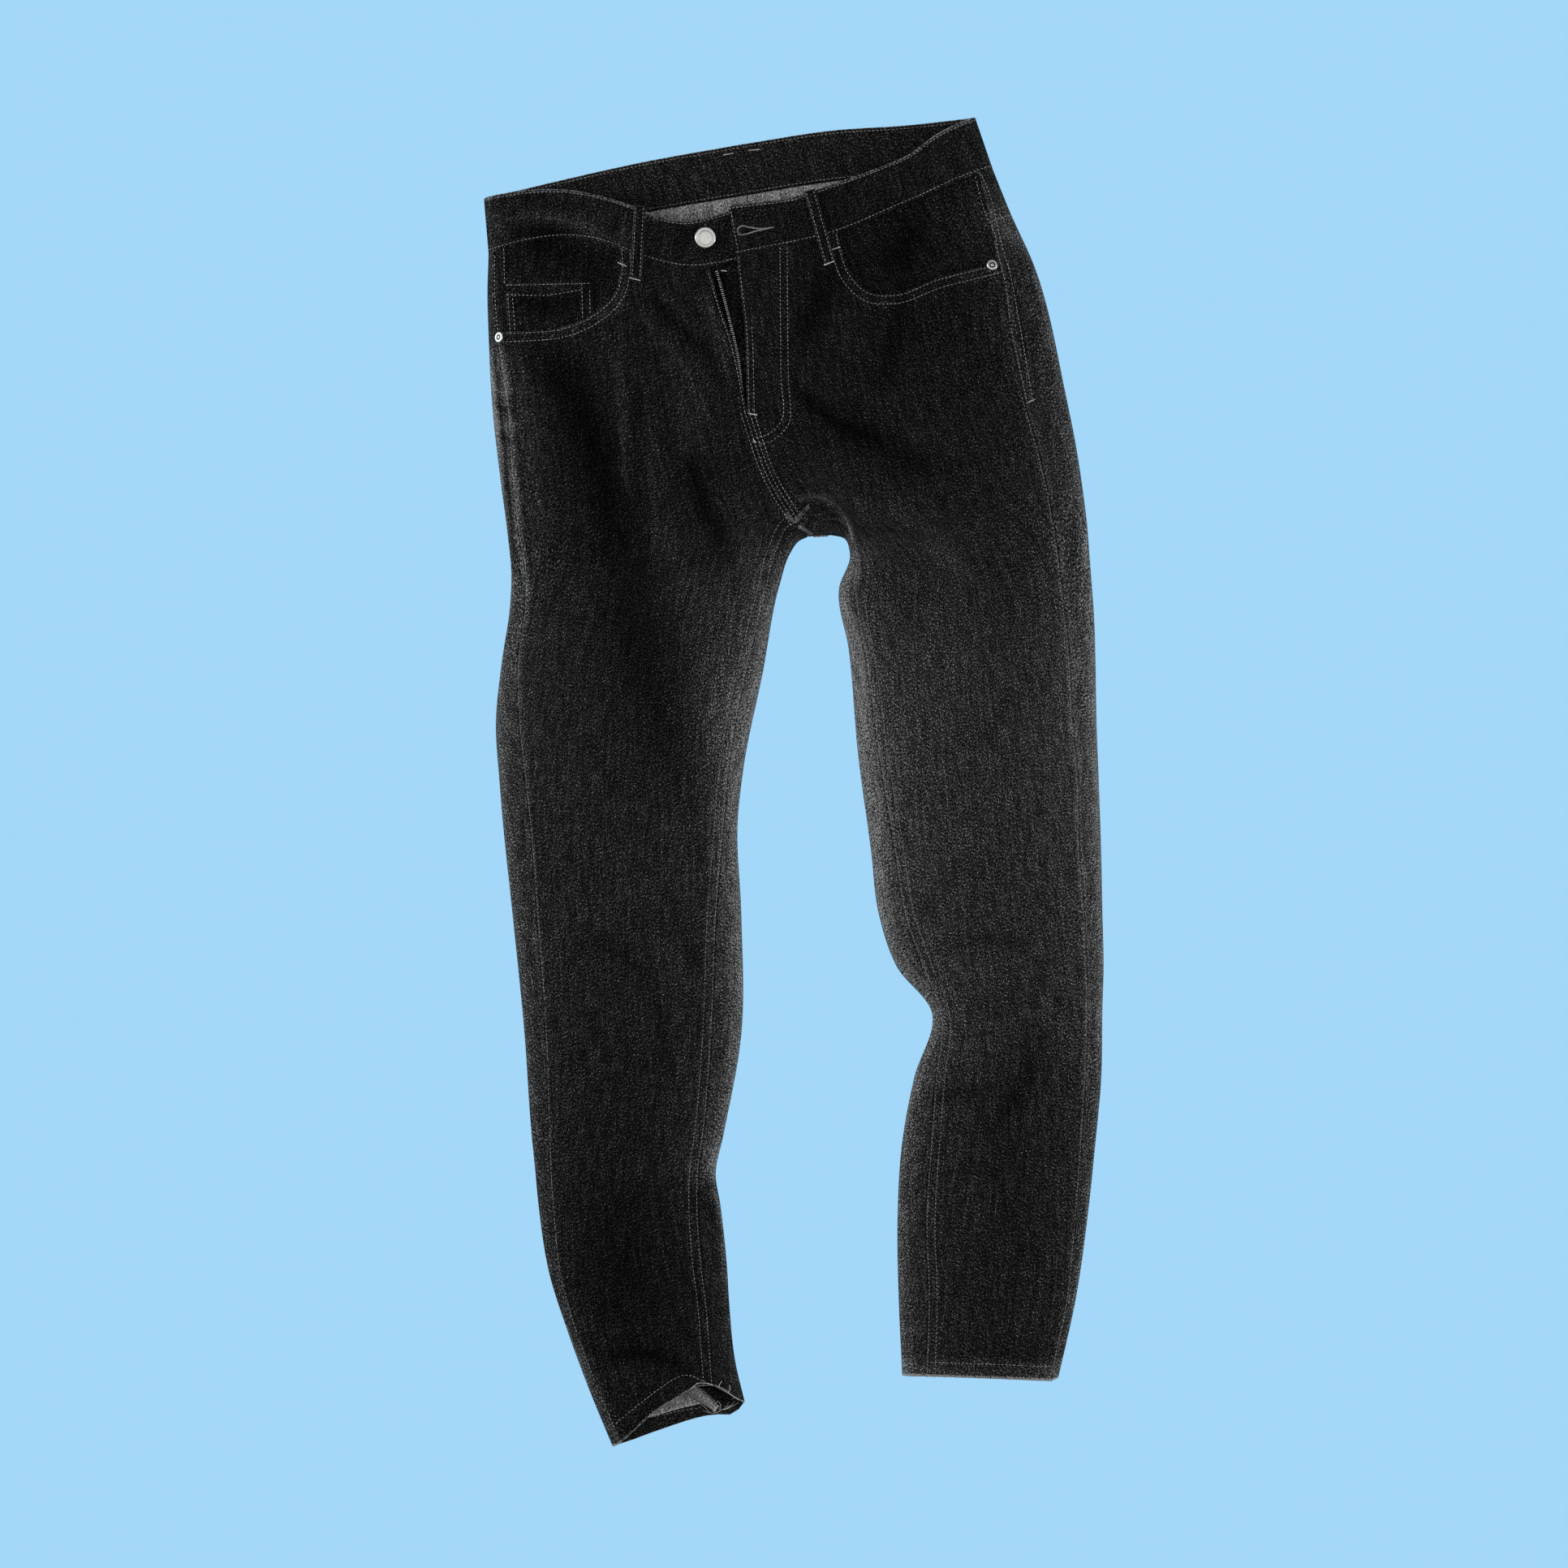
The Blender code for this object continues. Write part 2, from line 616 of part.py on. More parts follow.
def cloth(name, points, normals, walls, material, depth=0.0):
    """A closed wall from a grid of outer points; cells with a missing corner are left out."""
    rows, columns = points.shape[:2]
    present = ~np.isnan(points[..., 0])
    index = np.full((rows, columns), -1)
    index[present] = np.arange(present.sum())
    quads = []
    for i in range(rows - 1):
        for j in range(columns - 1):
            quad = (index[i, j], index[i + 1, j], index[i + 1, j + 1], index[i, j + 1])
            if min(quad) >= 0:
                quads.append(quad)
    vertices, outward = points[present], normals[present]
    thick = np.broadcast_to(walls, (rows, columns))[present][:, None]
    a, b, _, d = (vertices[k] for k in quads[0])
    if np.cross(b - a, d - a) @ outward[quads[0][0]] < 0:
        quads = [quad[::-1] for quad in quads]
    edges = {(q[k], q[(k + 1) % 4]) for q in quads for k in range(4)}
    border = [(p, q) for p, q in sorted(edges) if (q, p) not in edges]
    vertices = boundary_insets(vertices, outward, border)
    outer = vertices - outward * depth
    inner = outer - outward * thick
    count = len(vertices)
    faces = []
    for p, q, r, s in quads:
        faces += [(p, q, r), (p, r, s)]
        faces += [(r + count, q + count, p + count), (s + count, r + count, p + count)]
    for p, q in border:
        faces += [(q, p, p + count), (q, p + count, q + count)]
    return add_object(name, np.vstack([outer, inner]), faces, material)


def patch(name, corners, material, depth, wall, rows, columns):
    """A small piece between four plan corners, which follows the top skin at a depth below it."""
    (near_left, near_right), (far_left, far_right) = (np.array(pair, float) for pair in corners)
    across = np.linspace(0, 1, columns + 1)
    plan = []
    for v in np.linspace(0, 1, rows + 1):
        left, right = near_left + (far_left - near_left) * v, near_right + (far_right - near_right) * v
        plan.append(straight_row(left, right, across))
    points, normals = skin(np.array(plan).reshape(-1, 2), "top")
    shape = (rows + 1, columns + 1, 3)
    return cloth(name, points.reshape(shape), normals.reshape(shape), wall, material, depth)


def prism(name, corners, low, high, material):
    """A plate of an outline in plan, between two heights."""
    count = len(corners)
    vertices = [(x, y, low) for x, y in corners] + [(x, y, high) for x, y in corners]
    following = [*corners[1:], corners[0]]
    area = sum(a[0] * b[1] - b[0] * a[1] for a, b in zip(corners, following))
    faces = [tuple(reversed(range(count))), tuple(range(count, 2 * count))]
    faces += [(k, (k + 1) % count, (k + 1) % count + count, k + count) for k in range(count)]
    if area < 0:
        faces = [face[::-1] for face in faces]
    return add_object(name, vertices, faces, material)


def cut_mouth(panel, mouth, outer_corner, material):
    """Cuts the pocket mouth's corner out of a front."""
    course = Course(mouth)
    line = [tuple(course.at(p)) for p in np.linspace(0, len(mouth) - 1, 2 * len(mouth) - 1)]
    cutter = prism("mouth_cutter_" + panel.name, [*line, *outer_corner], *CUTTER_HEIGHTS, material)
    cutter.hide_render = True
    cutter.display_type = "WIRE"
    cut = panel.modifiers.new("mouth", "BOOLEAN")
    cut.operation = "DIFFERENCE"
    cut.solver = "EXACT"
    cut.object = cutter


def build_fronts(denim):
    """Both fronts, with the pocket mouths cut out of their upper corners, and the facings."""
    mouths = {"right": (MOUTH_RIGHT, CORNER_RIGHT), "left": (MOUTH_LEFT, CORNER_LEFT)}
    for half, (mouth, corner) in mouths.items():
        points, normals = front_grid(half)
        walls = leg_walls(half, points.shape[1])
        panel = cloth("front_" + half, points, normals, walls, denim)
        cut_mouth(panel, mouth, corner, denim)
        rows = sum(place <= FACING_ROWS for place in ROWS[half])
        part = np.s_[:rows, :FACING_COLUMNS]
        cloth("pocket_facing_" + half, points[part], normals[part], WALL, denim, WALL + LAY_GAP)


def build_backs(denim):
    """Both backs and the yokes above them, which wrap round the sides to the side seams."""
    for half in ("right", "left"):
        points, normals = back_grid(half)
        walls = leg_walls(half, points.shape[1])
        split = ROWS[half].index(float(YOKE_ROW))
        cloth("yoke_" + half, points[:split + 1], normals[:split + 1], WALL, denim)
        cloth("back_" + half, points[split:], normals[split:], walls[split:], denim)


def band_places(name, half, front):
    """Where the columns of a stretch of the waistband lie: at those of the panel below it."""
    edge, first, last = waist_places(half, front)
    end = len(edge.points) - 1
    if not front:
        length = np.hypot(*(edge.points[-1] - edge.points[0]))
        return [end * share for share in under_shares(length, True)]
    wrap = [first * share for share in BAND_WRAP]
    columns = [first + (last - first) * u for u in FRONT_COLUMNS]
    beyond = [last + (end - last) * share for share in (0.5, 1.0)] if end - last > 0.1 else []
    return [*wrap, *columns, *beyond]


def band_columns(half, face):
    """Grid columns of one stretch of the waistband, from the folded side outwards."""
    front = face != "under"
    name = ("front_" if front else "back_") + half
    top, bottom = BAND_EDGES[name]
    columns = []
    for place in band_places(name, half, front):
        columns.append(straight_row(bottom.at(place), top.at(place), np.linspace(0, 1, BAND_ROWS)))
    points, normals = skin(np.array(columns).reshape(-1, 2), face)
    shape = (len(columns), BAND_ROWS, 3)
    points, normals = points.reshape(shape), normals.reshape(shape)
    normals[0] = edge_normals(points[0, :, :2], points[-1, :, :2])
    return points, normals


def build_waistband(denim):
    """One strip from the button end round the back to the buttonhole end."""
    stretches = (("right", "top"), ("right", "under"), ("left", "under"), ("left", "lapped"))
    points, normals = [], []
    for half, face in stretches:
        part, part_normals = band_columns(half, face)
        if (half, face) in (stretches[0], stretches[2]):
            part, part_normals = part[::-1], part_normals[::-1]
        skip = 1 if points else 0
        points.append(part[skip:])
        normals.append(part_normals[skip:])
    cloth("waistband", np.concatenate(points), np.concatenate(normals), BAND_WALL, denim)


def build_fly(denim, tape):
    """The shield and the zip tape that show in the open wedge of the fly."""
    patch("fly_shield", (SHIELD_TOP, SHIELD_BOTTOM), denim, SHIELD_DEPTH, WALL, rows=7, columns=4)
    patch("zip_tape", (TAPE_TOP, TAPE_BOTTOM), tape, TAPE_DEPTH, TAPE_WALL, rows=6, columns=2)


def build_coin_pocket(denim):
    """The small pocket on the right facing, as far down as it shows."""
    depth = WALL + LAY_GAP - LOOSE_GAP - PATCH_WALL
    patch("coin_pocket", (COIN_TOP, COIN_BOTTOM), denim, depth, PATCH_WALL, rows=3, columns=6)


def build_front_loops(denim):
    """Belt loops on the front, bowed a little off the waistband between their sewn ends."""
    for name, (top, bottom) in FRONT_LOOPS.items():
        top, bottom = np.array(top, float), np.array(bottom, float)
        across = np.array([bottom[1] - top[1], top[0] - bottom[0]])
        across *= LOOP_WIDTH / 2 / np.hypot(*across)
        stops = np.linspace(0, 1, LOOP_STOPS)
        plan = np.array([[top + (bottom - top) * v + across * u for u in (-1, 0, 1)] for v in stops])
        points, normals = skin(plan.reshape(-1, 2), "top")
        shape = (LOOP_STOPS, 3, 3)
        points, normals = points.reshape(shape), normals.reshape(shape)
        lift = LOOP_BOW * np.sin(np.pi * stops)[:, None, None]
        cloth(name, points + normals * lift, normals, LOOP_WALL, denim, -LOOSE_GAP - LOOP_WALL)


def seat_frame():
    """Across and down directions of the tilted waist at the back."""
    across = np.array([math.cos(WAIST_TILT), math.sin(WAIST_TILT)])
    return across, np.array([across[1], -across[0]])


def build_back_loops(denim):
    """Belt loops that lie between the waistband and the surface."""
    across, down = seat_frame()
    band = Course([s.top for s in BAND_BACK_RIGHT] + [s.top for s in BAND_BACK_LEFT[-2::-1]])
    steps = len(band.points) - 1
    fine = [band.at(p) for p in np.linspace(0, steps, SEARCH_STEPS * steps + 1)]
    for name, reach in BACK_LOOPS.items():
        target = np.array(BACK_CENTRE) + across * reach
        top = min(fine, key=lambda p: abs((p - target) @ across)) - down * LOOP_RISE
        foot = top + down * LOOP_LENGTH
        half = across * LOOP_WIDTH / 2
        corners = [top - half, top + half, foot + half, foot - half]
        prism(name, [tuple(c) for c in corners], 0.0, LOOP_WALL, denim)


def build_back_pockets(denim):
    """Pointed patch pockets that lie between the seat and the surface."""
    across, down = seat_frame()
    half, foot = POCKET_WIDTH / 2, POCKET_WIDTH / 2 - POCKET_TAPER
    side = POCKET_HEIGHT - POCKET_POINT
    for name, sign in (("back_pocket_right", -1), ("back_pocket_left", 1)):
        centre = np.array(BACK_CENTRE) + across * POCKET_ACROSS * sign + down * POCKET_DOWN
        shape = ((-half, 0), (half, 0), (foot, side), (0, POCKET_HEIGHT), (-foot, side))
        corners = [tuple(centre + across * x + down * y) for x, y in shape]
        prism(name, corners, 0.0, LOOP_WALL, denim)


def turned(name, at, radius, profile, clearance, material):
    """A turned metal piece that stands square on the top skin."""
    points, normals = skin([at], "top")
    axis = normals[0]
    side = np.cross((0, 1, 0), axis)
    side /= np.linalg.norm(side)
    other = np.cross(axis, side)
    base = points[0] + axis * clearance
    rings = []
    for share, height in profile:
        for k in range(TRIM_SIDES):
            angle = 2 * math.pi * k / TRIM_SIDES
            spoke = side * math.cos(angle) + other * math.sin(angle)
            rings.append(base + axis * height + spoke * radius * share)
    faces = [tuple(reversed(range(TRIM_SIDES)))]
    for ring in range(len(profile) - 1):
        start = ring * TRIM_SIDES
        for k in range(TRIM_SIDES):
            n = (k + 1) % TRIM_SIDES
            faces.append((start + k, start + n, start + n + TRIM_SIDES, start + k + TRIM_SIDES))
    faces.append(tuple(range((len(profile) - 1) * TRIM_SIDES, len(profile) * TRIM_SIDES)))
    return add_object(name, rings, faces, material)


def build_trim(steel):
    """The waist button and the two rivets at the pocket mouths."""
    turned("button", BUTTON_AT, BUTTON_RADIUS, BUTTON_PROFILE, LOOSE_GAP, steel)
    for name, at in RIVETS.items():
        turned(name, at, RIVET_RADIUS, RIVET_PROFILE, LOOSE_GAP, steel)


def main():
    for obj in list(bpy.data.objects):
        bpy.data.objects.remove(obj, do_unlink=True)
    denim = make_material("denim", DENIM, 0.9)
    tape = make_material("zip_tape_black", TAPE_BLACK, 0.8)
    steel = make_material("nickel_steel", STEEL, 0.35, 1.0)
    build_fronts(denim)
    build_backs(denim)
    build_waistband(denim)
    build_fly(denim, tape)
    build_coin_pocket(denim)
    build_front_loops(denim)
    build_back_loops(denim)
    build_back_pockets(denim)
    build_trim(steel)


main()
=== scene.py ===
"""Slim black jeans laid flat: cloth, seams, stitching and metal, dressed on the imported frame.

Sizes are in millimetres until a mesh is made. +X points to the wearer's left, +Y to the waist and
+Z up from the surface that the jeans lie on.
"""

from __future__ import annotations

import json
import logging
import math
from dataclasses import dataclass, field
from enum import Enum

import bpy
import numpy as np
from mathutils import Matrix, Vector

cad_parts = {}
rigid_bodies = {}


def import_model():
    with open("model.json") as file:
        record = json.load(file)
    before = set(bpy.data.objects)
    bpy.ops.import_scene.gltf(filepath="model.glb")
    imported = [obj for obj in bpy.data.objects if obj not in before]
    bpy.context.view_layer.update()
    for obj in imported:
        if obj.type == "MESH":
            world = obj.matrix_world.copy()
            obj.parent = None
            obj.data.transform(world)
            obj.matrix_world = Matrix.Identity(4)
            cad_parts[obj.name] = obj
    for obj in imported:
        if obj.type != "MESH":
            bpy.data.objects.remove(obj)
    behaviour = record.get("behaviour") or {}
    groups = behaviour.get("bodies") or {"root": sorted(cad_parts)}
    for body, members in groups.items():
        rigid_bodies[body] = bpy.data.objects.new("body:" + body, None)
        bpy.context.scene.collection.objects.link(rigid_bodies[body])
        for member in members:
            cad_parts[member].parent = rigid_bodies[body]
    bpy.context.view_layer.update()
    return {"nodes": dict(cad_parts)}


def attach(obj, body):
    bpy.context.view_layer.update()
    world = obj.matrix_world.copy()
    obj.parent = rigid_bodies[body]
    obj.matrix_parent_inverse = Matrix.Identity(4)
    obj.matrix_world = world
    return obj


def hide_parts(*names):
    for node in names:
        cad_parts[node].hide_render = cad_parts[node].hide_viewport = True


LOG = logging.getLogger("slim_jeans")
MM = 0.001
# Keeps a division by a length of nought from failing
TINY = 1e-12
# Points measured against a line at once, to keep the memory small
BATCH = 4000
Point = tuple[float, float]


@dataclass(frozen=True)
class Section:
    """One section of a half, by the plan places of its folded edge, side seam, front and back."""

    edge: Point
    side: Point
    front: Point
    back: Point


@dataclass(frozen=True)
class Station:
    """One station of the waistband, by the plan places of its top and bottom edge."""

    top: Point
    bottom: Point


@dataclass(frozen=True)
class Crease:
    """A soft ridge, or a trough where height is below nought, bent through a middle place."""

    start: Point
    middle: Point
    end: Point
    width: float
    height: float


@dataclass(frozen=True)
class Height:
    """How high the top cloth stands at a place along the jeans, on the right and the left."""

    y: float
    right: float
    left: float


def table(kind: type, *rows: tuple) -> tuple:
    """Rows of one kind, each given by its columns in their order."""
    return tuple(kind(*row) for row in rows)


# The halves from the waist seam to the hem
RIGHT = table(
    Section,
    ((-256, 443), (-252, 444), (-71, 432), (-39, 493)),
    ((-257, 409), (-252, 409), (-64, 407), (-31, 430)),
    ((-256, 375), (-249, 373), (-50, 364), (-22, 377)),
    ((-253, 316), (-241, 316), (-39, 310), (-11, 316)),
    ((-247, 261), (-237, 261), (-20, 256), (1, 254)),
    ((-240, 207), (-231, 207), (3, 217), (12, 206)),
    ((-237, 176), (-226, 176), (-3, 214), (4, 202)),
    ((-238, 149), (-226, 149), (-12, 197), (-3, 192)),
    ((-245, 101), (-232, 101), (-24, 153), (-12, 165)),
    ((-250, 50), (-231, 50), (-40, 88), (-26, 92)),
    ((-247, 1), (-226, 1), (-54, 10), (-42, 13)),
    ((-244, -35), (-222, -35), (-58, -35), (-47, -33)),
    ((-236, -111), (-216, -111), (-64, -111), (-44, -111)),
    ((-226, -211), (-209, -211), (-68, -211), (-44, -211)),
    ((-220, -296), (-206, -296), (-75, -296), (-59, -296)),
    ((-217, -326), (-205, -326), (-79, -326), (-65.5, -329)),
    ((-214, -357), (-203, -357), (-79.5, -357), (-61.5, -355)),
    ((-205, -413), (-197, -413), (-76, -407), (-56, -407)),
    ((-190, -460), (-184, -460), (-72, -439), (-54, -439)),
    ((-173, -506), (-167, -505), (-69, -479), (-49, -486)),
    ((-152, -557), (-146, -554), (-67, -505), (-41, -520)),
)
LEFT = table(
    Section,
    ((167, 514), (155, 510), (-48, 441), (-39, 493)),
    ((182, 477), (163, 477), (-46, 421), (-31, 430)),
    ((201, 435), (171, 435), (-42, 390), (-22, 377)),
    ((228, 326), (193, 322), (-39, 310), (-11, 316)),
    ((238, 275), (206, 275), (-20, 256), (1, 254)),
    ((243, 241), (214, 241), (3, 217), (12, 206)),
    ((246, 217), (218, 217), (17, 213), (21, 207)),
    ((248, 192), (222, 192), (32, 210), (33, 207)),
    ((250, 166), (225, 166), (44, 203), (43, 204)),
    ((252, 139), (228, 139), (51, 189), (47, 192)),
    ((253, 108), (231, 112), (50, 158), (38, 163)),
    ((254, 54), (234, 57), (60, 101), (46, 112)),
    ((256, -1), (239, -1), (71, 20), (54, 23)),
    ((258, -59), (240, -59), (84, -59), (65, -59)),
    ((259, -109), (244, -109), (92, -109), (71, -109)),
    ((260, -155), (246, -155), (107, -154), (86, -154)),
    ((259, -191), (247, -191), (122, -194), (116, -194)),
    ((258, -249), (245, -249), (118, -249), (101, -248)),
    ((253, -304), (242, -304), (114, -302), (91, -302)),
    ((246, -370), (237, -370), (110, -370), (87, -370)),
    ((237, -432), (231, -432), (112, -430), (88, -432)),
    ((222, -500), (216, -502), (110, -498), (91, -498)),
)
# Rows of both tables that mean something
CROTCH_ROW = 5
FLY_ROW = 3
YOKE_ROW = 1
WAIST_FADE_ROWS = 3.0

# The waistband from its folded sides to its ends in front, and to the middle behind
BAND_FRONT_RIGHT = table(
    Station,
    ((-260, 490), (-256, 443)),
    ((-222, 496), (-219, 453)),
    ((-187, 496), (-187, 456)),
    ((-158, 490), (-160, 452)),
    ((-133, 482), (-137, 443)),
    ((-111, 473), (-116, 436)),
    ((-90, 470), (-90, 431)),
    ((-70, 474), (-69, 432)),
    ((-45, 481), (-45, 437)),
)
BAND_FRONT_LEFT = table(
    Station,
    ((152, 558), (167, 514)),
    ((120, 543), (136, 503)),
    ((95, 525), (107, 490)),
    ((69, 514), (79, 478)),
    ((44, 505), (52, 466)),
    ((18, 496), (26, 457)),
    ((-1, 490), (5, 452)),
    ((-27, 486), (-20, 447)),
    ((-55, 483), (-48, 441)),
)
BAND_BACK_RIGHT = table(
    Station,
    ((-260, 490), (-256, 443)),
    ((-189, 507), (-181, 466)),
    ((-128, 520.5), (-120, 479)),
    ((-45, 535.5), (-39, 493)),
)
BAND_BACK_LEFT = table(
    Station,
    ((152, 558), (167, 514)),
    ((93, 551.5), (100, 509)),
    ((34, 547.5), (38, 505)),
    ((-45, 535.5), (-39, 493)),
)
# The right hem's edges, in front and behind
HEM_RIGHT_FRONT = ((-146, -554), (-135, -544), (-116, -527), (-100, -517), (-81, -506), (-67, -505))
HEM_RIGHT_BACK = ((-152, -557), (-144, -555), (-116, -545), (-67, -531), (-50, -530), (-41, -520))

HEIGHTS = table(
    Height,
    (-560, 25, 14),
    (-505, 23, 14),
    (-440, 17, 14),
    (-300, 16, 15.5),
    (-190, 16.5, 18),
    (-20, 18, 18.5),
    (120, 20, 20),
    (206, 22, 22),
    (330, 25, 25),
    (470, 26, 26),
    (560, 25, 25),
)

# The largest folds, as the solids have them
FOLDS = table(
    Crease,
    ((-76, -10), (-78, -122), (-80, -235), 9, -3.0),
    ((-60, 95), (-63, 50), (-66, 5), 12, 1.8),
    ((128, -192), (162, -184), (196, -176), 14, -1.3),
    ((124, -235), (147, -228), (170, -222), 12, 1.0),
    ((22, 248), (42, 237), (62, 226), 11, 2.0),
    ((66, 205), (70, 162), (74, 120), 11, 1.8),
    ((-222, 150), (-206, 139), (-190, 128), 12, -1.0),
    ((-92, -290), (-89, -345), (-86, -400), 9, 2.2),
    ((-170, -470), (-133, -462), (-96, -455), 16, 1.0),
)

# Smaller creases: hips and waist, crotch and thighs, knees, shins and hems
CREASES = table(
    Crease,
    ((-253, 367), (-249, 316), (-242, 254), 4, 1.6),
    ((-245, 363), (-241, 312), (-235, 261), 4, -1.6),
    ((-238, 302), (-234, 275), (-233, 248), 5, 1.4),
    ((-240, 165), (-223, 149), (-196, 139), 9, -1.0),
    ((-238, 137), (-220, 129), (-189, 118), 10, 1.6),
    ((-230, 477), (-196, 465), (-162, 471), 6, -0.8),
    ((-223, 458), (-196, 466), (-158, 452), 7, 1.1),
    ((-230, 431), (-196, 437), (-165, 424), 6, 1.0),
    ((-216, 403), (-189, 405), (-162, 418), 5, -0.8),
    ((-148, 397), (-145, 288), (-138, 166), 16, 1.6),
    ((-121, 384), (-113, 275), (-121, 180), 14, -1.6),
    ((-90, 370), (-87, 275), (-94, 193), 14, 1.4),
    ((-189, 356), (-196, 275), (-189, 180), 18, -1.4),
    ((-88, 275), (-79, 220), (-67, 180), 12, -1.8),
    ((5, 258), (29, 249), (56, 231), 7, 1.4),
    ((-2, 248), (25, 243), (49, 228), 5, -1.2),
    ((15, 316), (83, 275), (151, 248), 22, -1.5),
    ((29, 343), (97, 309), (171, 288), 22, 1.4),
    ((56, 452), (97, 462), (144, 479), 9, 1.0),
    ((49, 496), (90, 505), (124, 523), 7, 1.0),
    ((-33, 397), (-22, 363), (-26, 316), 9, 1.2),
    ((-67, 370), (-60, 336), (-50, 302), 7, -1.2),
    ((117, 220), (131, 139), (127, 44), 24, 1.5),
    ((171, 234), (182, 125), (178, 10), 20, -1.4),
    ((50, 176), (57, 169), (65, 159), 3, 0.9),
    ((53, 156), (60, 147), (69, 135), 3.4, 1.0),
    ((56, 135), (63, 126), (71, 117), 3, 0.9),
    ((58, 115), (65, 106), (75, 95), 3.4, 0.9),
    ((63, 95), (69, 84), (77, 76), 3, 0.8),
    ((-249, 57), (-230, 44), (-196, 40), 10, 1.2),
    ((-63, -14), (-58, -31), (-51, -52), 3.5, 1.2),
    ((-58, -28), (-53, -41), (-49, -58), 3, -1.0),
    ((-189, 71), (-186, -24), (-175, -126), 20, 1.4),
    ((-128, 91), (-121, -24), (-118, -147), 20, -1.5),
    ((-216, -65), (-189, -86), (-148, -82), 14, -1.0),
    ((-220, -113), (-189, -126), (-141, -120), 14, 1.2),
    ((110, -147), (137, -160), (171, -164), 12, 1.2),
    ((122, -258), (160, -248), (196, -215), 8, -1.4),
    ((124, -235), (151, -249), (192, -245), 12, 1.3),
    ((144, -296), (151, -351), (148, -419), 18, 1.2),
    ((192, -283), (188, -351), (185, -432), 16, -1.2),
    ((97, -460), (117, -470), (144, -466), 8, 0.8),
    ((171, -470), (199, -477), (222, -466), 9, -0.9),
    ((-189, -249), (-186, -330), (-175, -405), 16, 1.2),
    ((-128, -228), (-124, -310), (-128, -398), 16, -1.3),
    ((-76, -296), (-67, -330), (-61, -364), 5, 1.4),
    ((-80, -344), (-72, -371), (-63, -392), 4.5, -1.3),
    ((-87, -385), (-73, -405), (-60, -412), 6, 1.0),
    ((-189, -473), (-141, -481), (-87, -466), 14, -1.1),
    ((-165, -500), (-128, -494), (-87, -477), 10, 1.5),
    ((-135, -432), (-101, -449), (-67, -460), 16, 1.2),
)
